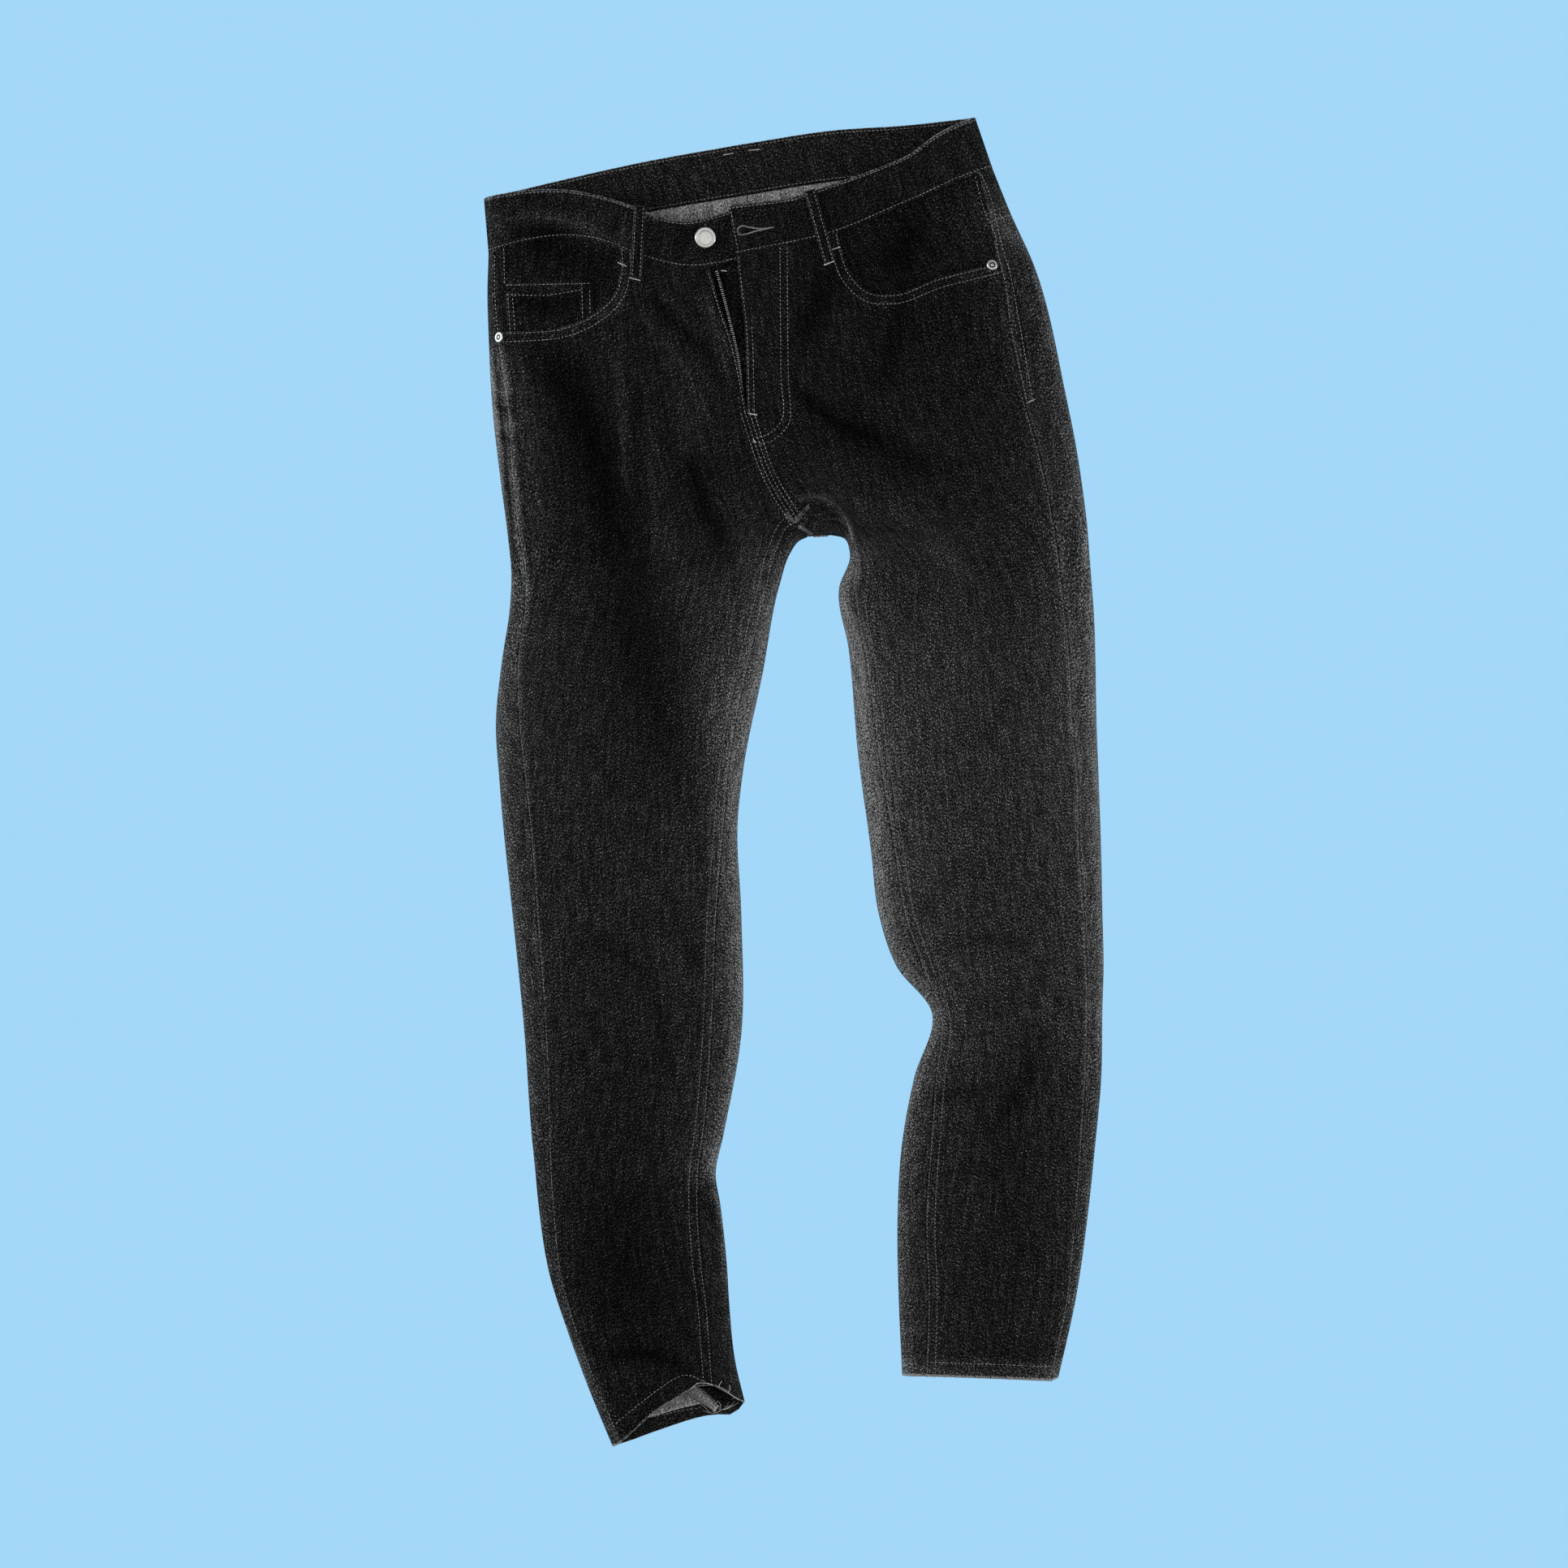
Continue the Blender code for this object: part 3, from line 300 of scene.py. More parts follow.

# Broad strokes of painted shade and painted light, partly wear: height holds the change in stops, paler above
# nought
STROKES = table(
    Crease,
    ((-211, 356), (-170, 292), (-147, 186), 18, -1.5),
    ((-147, 186), (-124, 110), (-82, -30), 27, -0.95),
    ((-230, 356), (-220, 275), (-211, 186), 11, 0.6),
    ((-148, 370), (-143, 300), (-138, 230), 4, 0.7),
    ((-111, 356), (-87, 329), (-94, 275), 23, 0.35),
    ((-86, 275), (-75, 234), (-58, 193), 8, -1.1),
    ((-122, 407), (-94, 380), (-67, 353), 5, -0.9),
    ((-75, 411), (-64, 375), (-53, 337), 5, 0.9),
    ((-53, 248), (-36, 207), (-36, 152), 14, 0.4),
    ((-121, 220), (-101, 180), (-73, 139), 15, 0.3),
    ((-183, -124), (-141, -147), (-121, -171), 8, -0.5),
    ((-121, -171), (-111, -208), (-106, -249), 8, -0.5),
    ((-111, -86), (-97, -109), (-87, -147), 6, -0.5),
    ((-158, -483), (-124, -479), (-87, -494), 6, -1.0),
    ((-162, -351), (-141, -419), (-121, -466), 30, -0.45),
    ((-155, -58), (-148, -92), (-162, -111), 16, 0.25),
    ((35, 435), (25, 411), (5, 370), 10, -0.8),
    ((97, 418), (86, 377), (73, 329), 8, -0.7),
    ((2, 330), (35, 302), (69, 288), 5.5, -1.3),
    ((42, 302), (76, 282), (117, 261), 12, -0.7),
    ((56, 397), (42, 384), (42, 363), 11, 0.35),
    ((-134, 350), (-131, 250), (-125, 150), 4, -0.45),
    ((67, 236), (103, 214), (150, 165), 9, 0.35),
    ((135, -137), (165, -132), (193, -137), 5, -0.5),
    ((112, -264), (141, -262), (164, -259), 7, -0.5),
    ((156, -292), (186, -264), (204, -212), 10, -0.75),
    ((137, -327), (158, -324), (178, -328), 8, -0.4),
    ((-226, 452), (-203, 445), (-179, 431), 15, -0.9),
    ((-186, 460), (-165, 457), (-145, 452), 5, 0.8),
    ((-243, 421), (-216, 416), (-175, 418), 4, 0.4),
    ((-230, 403), (-203, 398), (-179, 405), 8, -0.9),
    ((-230, 477), (-196, 473), (-162, 465), 3.5, 0.6),
    ((-240, 462), (-203, 458), (-189, 454), 3.5, -0.4),
    ((-162, 492), (-138, 486), (-128, 477), 4, 0.5),
    ((63, 438), (83, 445), (103, 472), 14, -0.5),
    ((-50, 526), (-48, 506), (-48, 492), 5, 0.5),
    ((-246, 364), (-242, 330), (-238, 295), 3.4, 1.6),
    ((-238, 295), (-234, 255), (-230, 205), 3.6, 1.3),
    ((-230, 205), (-226, 180), (-223, 150), 3, 1.0),
    ((-250, 350), (-246, 315), (-242, 280), 1.7, -0.9),
    ((-242, 280), (-239, 240), (-234, 175), 1.7, -1.1),
    ((-255, 345), (-251, 300), (-247, 255), 4.5, 1.2),
    ((-248, 262), (-243, 215), (-239, 155), 3, 1.4),
    ((-60, -360), (-56, -386), (-53, -415), 5, 1.4),
    ((-54, -415), (-50, -455), (-46, -500), 3, 0.7),
    ((-198, -440), (-186, -472), (-170, -512), 3, 0.9),
    ((168, 515), (200, 438), (222, 350), 3, 0.7),
    ((253, -320), (245, -380), (226, -490), 3, 0.8),
    ((-254, 366), (-253, 330), (-249, 300), 2.2, 1.0),
    ((-130, 398), (-112, 372), (-84, 338), 4, 0.5),
    ((-108, 412), (-96, 394), (-80, 376), 3.5, 0.5),
    ((-123, 340), (-117, 270), (-116, 190), 3.5, 0.4),
    ((-106, 320), (-101, 262), (-98, 205), 4, -0.4),
    ((200, 452), (182, 462), (158, 482), 16, 0.9),
    ((100, 478), (96, 455), (88, 425), 9, -0.8),
    ((-158, 448), (-164, 430), (-176, 408), 11, -0.6),
    ((-150, 512), (-20, 533), (60, 547), 16, 0.3),
    ((50, 547), (100, 554), (148, 560), 14, 0.3),
    ((-144, 472), (-141, 462), (-139, 448), 4, 0.9),
    ((-128, 480), (-121, 474), (-116, 466), 4, 0.8),
    ((-226, 488), (-200, 486), (-172, 480), 4, -0.5),
    ((-98, 470), (-92, 458), (-90, 446), 5, -0.6),
    ((-78, 462), (-73, 452), (-66, 446), 4, -0.6),
    ((-250, 330), (-244, 326), (-236, 330), 2.2, 0.8),
    ((-250, 318), (-242, 312), (-233, 314), 2.2, -0.9),
    ((-248, 304), (-241, 298), (-230, 301), 2.2, 0.8),
    ((-246, 292), (-238, 286), (-228, 288), 2.2, -0.8),
    ((-112, -511), (-110, -516), (-108, -521), 2.6, 0.6),
    ((4, 235), (22, 239), (42, 222), 2.2, 1.2),
    ((-118, 300), (-116, 250), (-112, 205), 16, 0.3),
    ((-68, -344), (-62, -356), (-58, -372), 2.4, 1.5),
    ((-72, -352), (-67, -366), (-61, -384), 2.2, -1.0),
    ((-64, -338), (-60, -346), (-56, -356), 2.0, 1.2),
    ((42, 222), (47, 213), (49, 200), 2.2, 1.6),
    ((8, 229), (22, 231), (38, 216), 3, -0.9),
    ((-252, 482), (-244, 465), (-232, 450), 10, 0.5),
    ((-228, 480), (-192, 481), (-150, 470), 13, 0.3),
    ((-246, 470), (-215, 472), (-165, 463), 2.4, 0.7),
    ((-240, 456), (-212, 462), (-170, 455), 2.4, -0.7),
    ((-140, 420), (-146, 400), (-165, 385), 5, 0.4),
    ((-122, -518), (-120, -523), (-118, -528), 2.6, 0.6),
    ((-100, -504), (-98, -508), (-97, -513), 2.6, 0.6),
    ((-138, -530), (-136, -534), (-134, -538), 2.6, 0.6),
)

# Pocket mouths, and the rest of each corner that is cut away
MOUTH_RIGHT = ((-146, 456), (-146, 424), (-150, 410), (-167, 393), (-195, 381), (-224, 378), (-266, 377))
MOUTH_LEFT = ((34, 480), (40, 446), (48, 425), (63, 411), (82, 409), (120, 422), (168, 434), (205, 443))
CORNER_RIGHT = ((-300, 377), (-300, 520), (-146, 520))
CORNER_LEFT = ((260, 470), (200, 600), (34, 600))


class Face(Enum):
    """Which skin a piece follows."""

    TOP = "top"
    LAPPED = "lapped"
    UNDER = "under"


class Half(Enum):
    """A half of the jeans, by the wearer's side."""

    RIGHT = "right"
    LEFT = "left"

    @property
    def side(self) -> int:
        """The sign of x on this half."""
        return -1 if self is Half.RIGHT else 1

    @property
    def face(self) -> Face:
        """The skin that its front follows; the left one laps over the right."""
        return Face.TOP if self is Half.RIGHT else Face.LAPPED


class Lay(Enum):
    """How a thread lies on its row: along it, as a stitch, or across it, as in a bar tack."""

    ALONG = 0
    ACROSS = 1


TABLES = {Half.RIGHT: RIGHT, Half.LEFT: LEFT}


def smooth_step(value: np.ndarray) -> np.ndarray:
    """Nought to one with soft ends."""
    value = np.clip(value, 0.0, 1.0)
    return value * value * (3.0 - 2.0 * value)


def ramp(value: np.ndarray, start: float, end: float) -> np.ndarray:
    """Nought at the start to one at the end, with soft ends."""
    return smooth_step((value - start) / (end - start))


def straight_row(start: np.ndarray, end: np.ndarray, shares: np.ndarray) -> np.ndarray:
    """Places at shares of the way from start to end."""
    start, end = np.asarray(start, float), np.asarray(end, float)
    return start + (end - start) * np.asarray(shares, float)[:, None]


def bow(line: np.ndarray, shares: np.ndarray) -> np.ndarray:
    """How far a line's places stand off the straight row between its ends."""
    return line - straight_row(line[0], line[-1], shares)


class Course:
    """A smooth line through a few points, with sharp turns only at the corners."""

    def __init__(self, points: tuple[Point, ...], corners: tuple[int, ...] = ()) -> None:
        """Works out the line's direction at each point."""
        self.points = np.array(points, float)
        steps = np.diff(self.points, axis=0)
        self.lengths = np.linalg.norm(steps, axis=1)
        slopes = steps / self.lengths[:, None]
        self.leaving = np.vstack([slopes, slopes[-1:]])
        self.arriving = np.vstack([slopes[:1], slopes])
        for i in range(1, len(self.points) - 1):
            if i not in corners:
                before, after = self.lengths[i - 1], self.lengths[i]
                tangent = (slopes[i - 1] * after + slopes[i] * before) / (before + after)
                self.leaving[i] = tangent
                self.arriving[i] = tangent

    def at(self, place: float) -> np.ndarray:
        """The point at a place counted in points, such as 2.5 for half way from 2 to 3."""
        i = min(int(place), len(self.lengths) - 1)
        f = place - i
        length = self.lengths[i]
        start = (1 + 2 * f) * (1 - f) ** 2 * self.points[i]
        end = f * f * (3 - 2 * f) * self.points[i + 1]
        leave = f * (1 - f) ** 2 * length * self.leaving[i]
        arrive = f * f * (1 - f) * length * self.arriving[i + 1]
        return start + end + leave - arrive

    def place_of(self, share: float) -> float:
        """The place that lies at a share, nought to one, of the line's length."""
        ends = np.concatenate([[0.0], np.cumsum(self.lengths)])
        reach = share * ends[-1]
        i = min(int(np.searchsorted(ends, reach, side="right")) - 1, len(self.lengths) - 1)
        return i + (reach - ends[i]) / self.lengths[i]

    def line(self, step: float, first: float = 0.0, last: float | None = None) -> np.ndarray:
        """Points along the line about a step apart, from one place to another."""
        last = len(self.lengths) if last is None else last
        rough = np.array([self.at(p) for p in np.linspace(first, last, 65)])
        length = np.linalg.norm(np.diff(rough, axis=0), axis=1).sum()
        count = max(2, int(length / step) + 1)
        return np.array([self.at(p) for p in np.linspace(first, last, count)])


def offset_line(line: np.ndarray, distance: float) -> np.ndarray:
    """The line moved square to itself; to its left where distance is above nought."""
    along = np.gradient(line, axis=0)
    along /= np.linalg.norm(along, axis=1)[:, None]
    return line + distance * np.stack([-along[:, 1], along[:, 0]], axis=1)


def line_distance(points: np.ndarray, line: np.ndarray) -> tuple[np.ndarray, np.ndarray]:
    """Signed distance of each point from a line, above nought to its left, and the reach along it."""
    starts, along = line[:-1], np.diff(line, axis=0)
    lengths = np.linalg.norm(along, axis=1)
    ends = np.concatenate([[0.0], np.cumsum(lengths)])
    gaps, reaches = np.empty(len(points)), np.empty(len(points))
    for first in range(0, len(points), BATCH):
        part = slice(first, first + BATCH)
        off = points[part, None, :] - starts[None]
        share = np.clip((off * along).sum(2) / (lengths * lengths), 0.0, 1.0)
        gap = off - share[:, :, None] * along
        square = (gap * gap).sum(2)
        near = square.argmin(1)
        rows = np.arange(len(near))
        cross = along[near, 0] * off[rows, near, 1] - along[near, 1] * off[rows, near, 0]
        gaps[part] = np.sqrt(square[rows, near]) * np.where(cross >= 0, 1.0, -1.0)
        reaches[part] = ends[near] + share[rows, near] * lengths[near]
    return gaps, reaches


# Periods in millimetres, and turns, of the uneven puckers along a seam
PUCKER_WAVES = ((8.3, 0.4), (12.7, 2.1), (21.9, 4.0))


@dataclass
class Seam:
    """A sewn line that lifts the cloth on its lap side and puckers it on both."""

    line: np.ndarray
    # How wide the lap is, how high it stands, how deep the groove beside it is and how high it puckers
    lap: float = 9.5
    rise: float = 0.8
    groove: float = 0.5
    pucker: float = 0.35
    # One where the lap lies to the left of the line, and minus one to its right
    side: int = 1
    # How far the seam is felt, and how softly each of its parts ends
    reach: float = 22.0
    lap_softness: float = 1.0
    groove_reach: float = 1.6
    pucker_reach: float = 6.5
    # A place this little short of the line still counts as on its lap
    slack: float = 0.05

    def lift(self, points: np.ndarray) -> np.ndarray:
        """What the seam adds to the height of the top cloth."""
        low, high = self.line.min(0) - self.reach, self.line.max(0) + self.reach
        near = np.flatnonzero(((points > low) & (points < high)).all(1))
        total = np.zeros(len(points))
        if len(near) == 0:
            return total
        gap, reach = line_distance(points[near], self.line)
        gap = gap * self.side
        fall = smooth_step((gap - self.lap + self.lap_softness) / (2 * self.lap_softness))
        over = np.where(gap > -self.slack, 1.0 - fall, 0.0)
        dip = np.where(gap <= -self.slack, np.exp(-((gap / self.groove_reach) ** 2)), 0.0)
        wave = sum(np.sin(reach / period * math.tau + turn) for period, turn in PUCKER_WAVES)
        ripple = self.pucker * wave * np.exp(-((gap / self.pucker_reach) ** 2))
        total[near] = self.rise * over - self.groove * dip + ripple
        return total


class Pattern:
    """The plan of the jeans: their lines, the fineness of their meshes and their seams."""

    row_step = 2.4
    quick_step = 5.0
    # How deep the hems are turned up
    hem_depth = 12.5
    # How far the top rows run on under the waistband
    tuck = 2.2
    # Where the left front is pushed up at the crotch, and by how much
    arch = 24.0
    arch_x = (5.0, 17.0, 33.0, 60.0)
    arch_y = (209.0, 290.0)
    # The fineness of the pocket mouth's line, and how far its lap reaches
    mouth_step = 1.2
    mouth_reach = 9.0

    def __init__(self) -> None:
        """Draws the lines of both halves and of the waistband."""
        self.lines = {half: self._courses(table) for half, table in TABLES.items()}
        self.rows = {half: self._row_places(table) for half, table in TABLES.items()}
        self.bands = {}
        tables = {
            (Half.RIGHT, True): BAND_FRONT_RIGHT,
            (Half.LEFT, True): BAND_FRONT_LEFT,
            (Half.RIGHT, False): BAND_BACK_RIGHT,
            (Half.LEFT, False): BAND_BACK_LEFT,
        }
        for key, stations in tables.items():
            top, bottom = [s.top for s in stations], [s.bottom for s in stations]
            self.bands[key] = (Course(top), Course(bottom))

    @staticmethod
    def _courses(table: tuple[Section, ...]) -> dict[str, Course]:
        """The four lines that run down a half through its sections."""
        return {
            "edge": Course([s.edge for s in table]),
            "side": Course([s.side for s in table]),
            "front": Course([s.front for s in table], (FLY_ROW, CROTCH_ROW)),
            "back": Course([s.back for s in table], (CROTCH_ROW,)),
        }

    def _row_places(self, table: tuple[Section, ...]) -> list[float]:
        """Where the rows of a half's mesh lie; both halves agree above the crotch."""
        places = []
        for i in range(len(table) - 1):
            tables = (RIGHT, LEFT) if i < CROTCH_ROW else (table,)
            spans = []
            for sections in tables:
                one, other = sections[i], sections[i + 1]
                pairs = ((one.edge, other.edge), (one.side, other.side), (one.front, other.front))
                spans += [np.hypot(*np.subtract(a, b)) for a, b in pairs]
            count = max(1, math.ceil(max(spans) / self.row_step))
            places += [i + k / count for k in range(count)]
        return places + [float(len(table) - 1)]

    def waist_places(self, half: Half, front: bool) -> tuple[Course, float, float]:
        """The waistband's lower edge, and where a half's top row starts and ends on it."""
        edge = self.bands[half, front][1]
        stations = len(edge.points) - 1
        if not front:
            return edge, 0.0, float(stations)
        fine = np.linspace(0, stations, 40 * stations + 1)
        drawn = np.array([edge.at(p) for p in fine])
        ends = []
        for name in ("side", "front"):
            gap = np.linalg.norm(drawn - self.lines[half][name].points[0], axis=1)
            ends.append(float(fine[int(gap.argmin())]))
        return edge, ends[0], ends[1]

    def fades(self, place: float, half: Half) -> tuple[float, float]:
        """How strongly a row follows the waist's bow and the hem's."""
        last = self.rows[half][-1]
        return 1.0 - smooth_step(place / WAIST_FADE_ROWS), smooth_step(place - (last - 1))

    @staticmethod
    def hem_bow(hem: tuple[Point, ...] | None, shares: np.ndarray) -> np.ndarray:
        """The bow of a hem edge that is drawn through a few points; none for a straight hem."""
        if hem is None:
            return np.zeros((len(shares), 2))
        course = Course(hem)
        return bow(np.array([course.at(course.place_of(u)) for u in shares]), shares)

    def arch_rise(self, points: np.ndarray) -> np.ndarray:
        """Plan shift of the left front where it is pushed up at the crotch."""
        x, y = points[..., 0], points[..., 1]
        across = ramp(x, *self.arch_x[:2]) - ramp(x, *self.arch_x[2:])
        return self.arch * across * (1.0 - ramp(y, *self.arch_y))

    def front_plan(self, half: Half, shares: np.ndarray) -> np.ndarray:
        """Plan places of a front's grid, rows from waist to hem, columns from side to front."""
        lines = self.lines[half]
        edge, first, last = self.waist_places(half, front=True)
        waist = np.array([edge.at(first + (last - first) * u) for u in shares])
        waist_bow = bow(waist, shares)
        foot_bow = self.hem_bow(HEM_RIGHT_FRONT if half is Half.RIGHT else None, shares)
        plan = []
        for place in self.rows[half]:
            waist_fade, hem_fade = self.fades(place, half)
            row = straight_row(lines["side"].at(place), lines["front"].at(place), shares)
            plan.append(row + waist_fade * waist_bow + hem_fade * foot_bow)
        plan = np.array(plan)
        if half is Half.LEFT:
            plan[..., 1] += self.arch_rise(plan)
        return plan

    def tucked(self, plan: np.ndarray) -> np.ndarray:
        """The grid with its top row drawn on under the waistband."""
        along = plan[0] - plan[1]
        along /= np.linalg.norm(along, axis=1)[:, None] + 1e-9
        plan = plan.copy()
        plan[0] += self.tuck * along
        return plan

    def border(self, half: Half, inner: bool) -> np.ndarray:
        """The front's side seam, or its centre front and inseam, as drawn rows."""
        return self.front_plan(half, np.array([0.0, 1.0]))[:, 1 if inner else 0]

    def mouth(self, half: Half) -> np.ndarray:
        """The pocket mouth's edge, close points from the waist to beyond the side seam."""
        return Course(MOUTH_RIGHT if half is Half.RIGHT else MOUTH_LEFT).line(self.mouth_step)

    def crotch_index(self, half: Half) -> int:
        """The row where the legs part."""
        return self.rows[half].index(float(CROTCH_ROW))

    def fly_index(self, half: Half) -> int:
        """The row where the fly ends."""
        return self.rows[half].index(float(FLY_ROW))

    def hem_line(self, half: Half) -> np.ndarray:
        """The front's hem edge from the side seam to the inseam."""
        return self.front_plan(half, np.linspace(0, 1, 60))[-1]

    def seams(self) -> list[Seam]:
        """Every sewn line that shapes the top cloth."""
        found = []
        for half in Half:
            inner, outer = self.border(half, True), self.border(half, False)
            found += [
                Seam(inner[self.crotch_index(half):], side=half.side),
                Seam(outer, lap=3.0, rise=0.25, groove=0.35, pucker=0.3, side=-half.side),
                Seam(self.mouth(half), self.mouth_reach, rise=0.6, groove=0.0, pucker=0.2, side=-half.side),
                Seam(self.hem_line(half), self.hem_depth, rise=0.5, groove=0.0, pucker=0.3),
            ]
        found.append(Seam(self.centre_seam(Half.LEFT), self.mouth_reach, rise=0.6, groove=0.4, pucker=0.25))
        return found

    def centre_seam(self, half: Half) -> np.ndarray:
        """The front's inner edge from the fly's end to the crotch."""
        return self.border(half, True)[self.fly_index(half):self.crotch_index(half) + 1]


class Lie:
    """How the jeans lie: the heights of their skins over the surface, in millimetres."""

    # How far in from a folded edge the top and the underside are rolled
    top_roll = 13.0
    under_roll = 8.0
    # The height of the folded edges, as a share of the cloth's
    edge_share = 0.42
    # How far the cloth sags between its edges, and how far in from the rolled edge that takes
    sag = 2.5
    sag_reach = 30.0
    # The x that parts the right leg's heights from the left one's
    leg_gap_x = 20.0
    # The seat's underside stands off the surface above this stretch of y
    seat_lift = 1.8
    seat_y = (150.0, 225.0)
    # The left front's lap over the right one at the waist
    lap_lift = 3.6
    lap_x = (-46.0, -2.0)
    lap_y = (375.0, 435.0)
    # How strong a crease is at its ends, how it swells between them and how many widths it spreads
    crease_ends = 0.25
    crease_swell = 0.6
    crease_spread = 2.5
    # How soon a seam stands at its full height inside a folded edge
    seam_fill = 1.3
    # The fineness of the outer and the inner folded edges
    edge_step = 7.0
    inner_step = 5.0
    # How far to each side of a place the slope is measured
    slope_reach = 0.8

    def __init__(self, pattern: Pattern) -> None:
        """Draws the folded edges and the creases."""
        self.pattern = pattern
        self.edges = self._folded_edges()
        self.seams = pattern.seams()
        self.creases = [self.bent(c) for c in (*FOLDS, *CREASES)]

    def _folded_edges(self) -> list[np.ndarray]:
        """The four lines along which the cloth folds: right and left outer, right and left inner."""
        lines = []
        for half in Half:
            side_top = self.pattern.bands[half, True][0].points[0]
            edge = self.pattern.lines[half]["edge"].line(self.edge_step)
            lines.append(np.vstack([side_top, edge]))
        for half in Half:
            lines.append(self.pattern.lines[half]["back"].line(self.inner_step, CROTCH_ROW))
        return lines

    @staticmethod
    def bent(crease: Crease) -> tuple[np.ndarray, float, float]:
        """A crease's line through its three places, with its width and height."""
        t = np.linspace(0, 1, 9)[:, None]
        pull = 2 * np.array(crease.middle, float) - 0.5 * (np.array(crease.start) + np.array(crease.end))
        line = (1 - t) ** 2 * np.array(crease.start) + 2 * t * (1 - t) * pull + t * t * np.array(crease.end)
        return line, crease.width, crease.height

    def edge_distance(self, points: np.ndarray) -> tuple[np.ndarray, np.ndarray]:
        """How far each point lies from the nearest folded edge, and which edge that is."""
        gaps = np.array([np.abs(line_distance(points, line)[0]) for line in self.edges])
        return gaps.min(0), gaps.argmin(0)

    def fullness(self, points: np.ndarray) -> np.ndarray:
        """Height of the top cloth before it sags and folds."""
        stations = [h.y for h in HEIGHTS]
        right = np.interp(points[:, 1], stations, [h.right for h in HEIGHTS])
        left = np.interp(points[:, 1], stations, [h.left for h in HEIGHTS])
        return np.where(points[:, 0] < self.leg_gap_x, right, left)

    @staticmethod
    def roll(distance: np.ndarray, reach: float) -> np.ndarray:
        """A quarter round from nought at the fold to one at its reach."""
        return np.sqrt(np.clip(1.0 - (1.0 - np.minimum(distance / reach, 1.0)) ** 2, 0.0, 1.0))

    def bent_height(self, points: np.ndarray, bends: list[tuple[np.ndarray, float, float]]) -> np.ndarray:
        """What bent strokes add, strongest half way along each and weak at its ends."""
        total = np.zeros(len(points))
        for line, width, height in bends:
            low, high = line.min(0) - self.crease_spread * width, line.max(0) + self.crease_spread * width
            near = np.flatnonzero(((points > low) & (points < high)).all(1))
            if len(near) == 0:
                continue
            gap, reach = line_distance(points[near], line)
            share = reach / np.linalg.norm(np.diff(line, axis=0), axis=1).sum()
            body = np.clip(4.0 * share * (1.0 - share), 0.0, 1.0) ** self.crease_swell
            strength = self.crease_ends + (1.0 - self.crease_ends) * body
            total[near] += height * strength * np.exp(-((gap / width) ** 2))
        return total

    @staticmethod
    def drift(points: np.ndarray) -> np.ndarray:
        """The faint unevenness of cloth that was smoothed by hand, in slow and quick crossed waves."""
        x, y = points[:, 0], points[:, 1]
        slow = np.sin(x / 17.0 + 1.3 * np.sin(y / 41.0)) * np.sin(y / 29.0 + 0.8 * np.sin(x / 23.0))
        quick = np.sin(x / 6.1 + y / 13.0 + 2.0 * np.sin(y / 37.0)) * np.sin(y / 9.7 - x / 31.0)
        return 0.38 * slow + 0.12 * quick

    def lap(self, points: np.ndarray) -> np.ndarray:
        """How far the left front is lifted where it laps over the right at the waist."""
        across = 1.0 - ramp(points[:, 0], *self.lap_x)
        return self.lap_lift * across * ramp(points[:, 1], *self.lap_y)

    def heights(self, points: np.ndarray, face: Face) -> np.ndarray:
        """Height of a skin over plan points.

        Args:
            points: plan places, one a row.
            face: the skin that is asked for.

        Returns:
            The height over the surface at each place.
        """
        distance, _ = self.edge_distance(points)
        low = self.edge_share * self.fullness(points)
        if face is Face.UNDER:
            lift = self.seat_lift * ramp(points[:, 1], *self.seat_y)
            return lift + (low - lift) * (1.0 - self.roll(distance, self.under_roll))
        middle = 1.0 - np.exp(-((np.maximum(distance - self.top_roll, 0.0) / self.sag_reach) ** 2))
        crown = self.fullness(points) - self.sag * middle + self.bent_height(points, self.creases)
        crown += self.drift(points)
        rolled = self.roll(distance, self.top_roll)
        height = low + (crown - low) * rolled
        for seam in self.seams:
            height += seam.lift(points) * np.minimum(rolled * self.seam_fill, 1.0)
        return height + self.lap(points) if face is Face.LAPPED else height

    def raised(self, plan: np.ndarray, face: Face) -> np.ndarray:
        """A plan grid's points on a skin."""
        flat = plan.reshape(-1, 2)
        return np.column_stack([flat, self.heights(flat, face)]).reshape(*plan.shape[:2], 3)

    def on_skin(self, line: np.ndarray, face: Face) -> tuple[np.ndarray, np.ndarray]:
        """A plan line's points on a skin, and the skin's normals there."""
        reach = self.slope_reach
        aside, along = np.array((reach, 0.0)), np.array((0.0, reach))
        height = self.heights(line, face)
        slope_x = (self.heights(line + aside, face) - self.heights(line - aside, face)) / (2 * reach)
        slope_y = (self.heights(line + along, face) - self.heights(line - along, face)) / (2 * reach)
        normals = np.stack([-slope_x, -slope_y, np.ones(len(line))], axis=1)
        normals /= np.linalg.norm(normals, axis=1)[:, None]
        if face is Face.UNDER:
            normals = -normals
        return np.column_stack([line, height]), normals


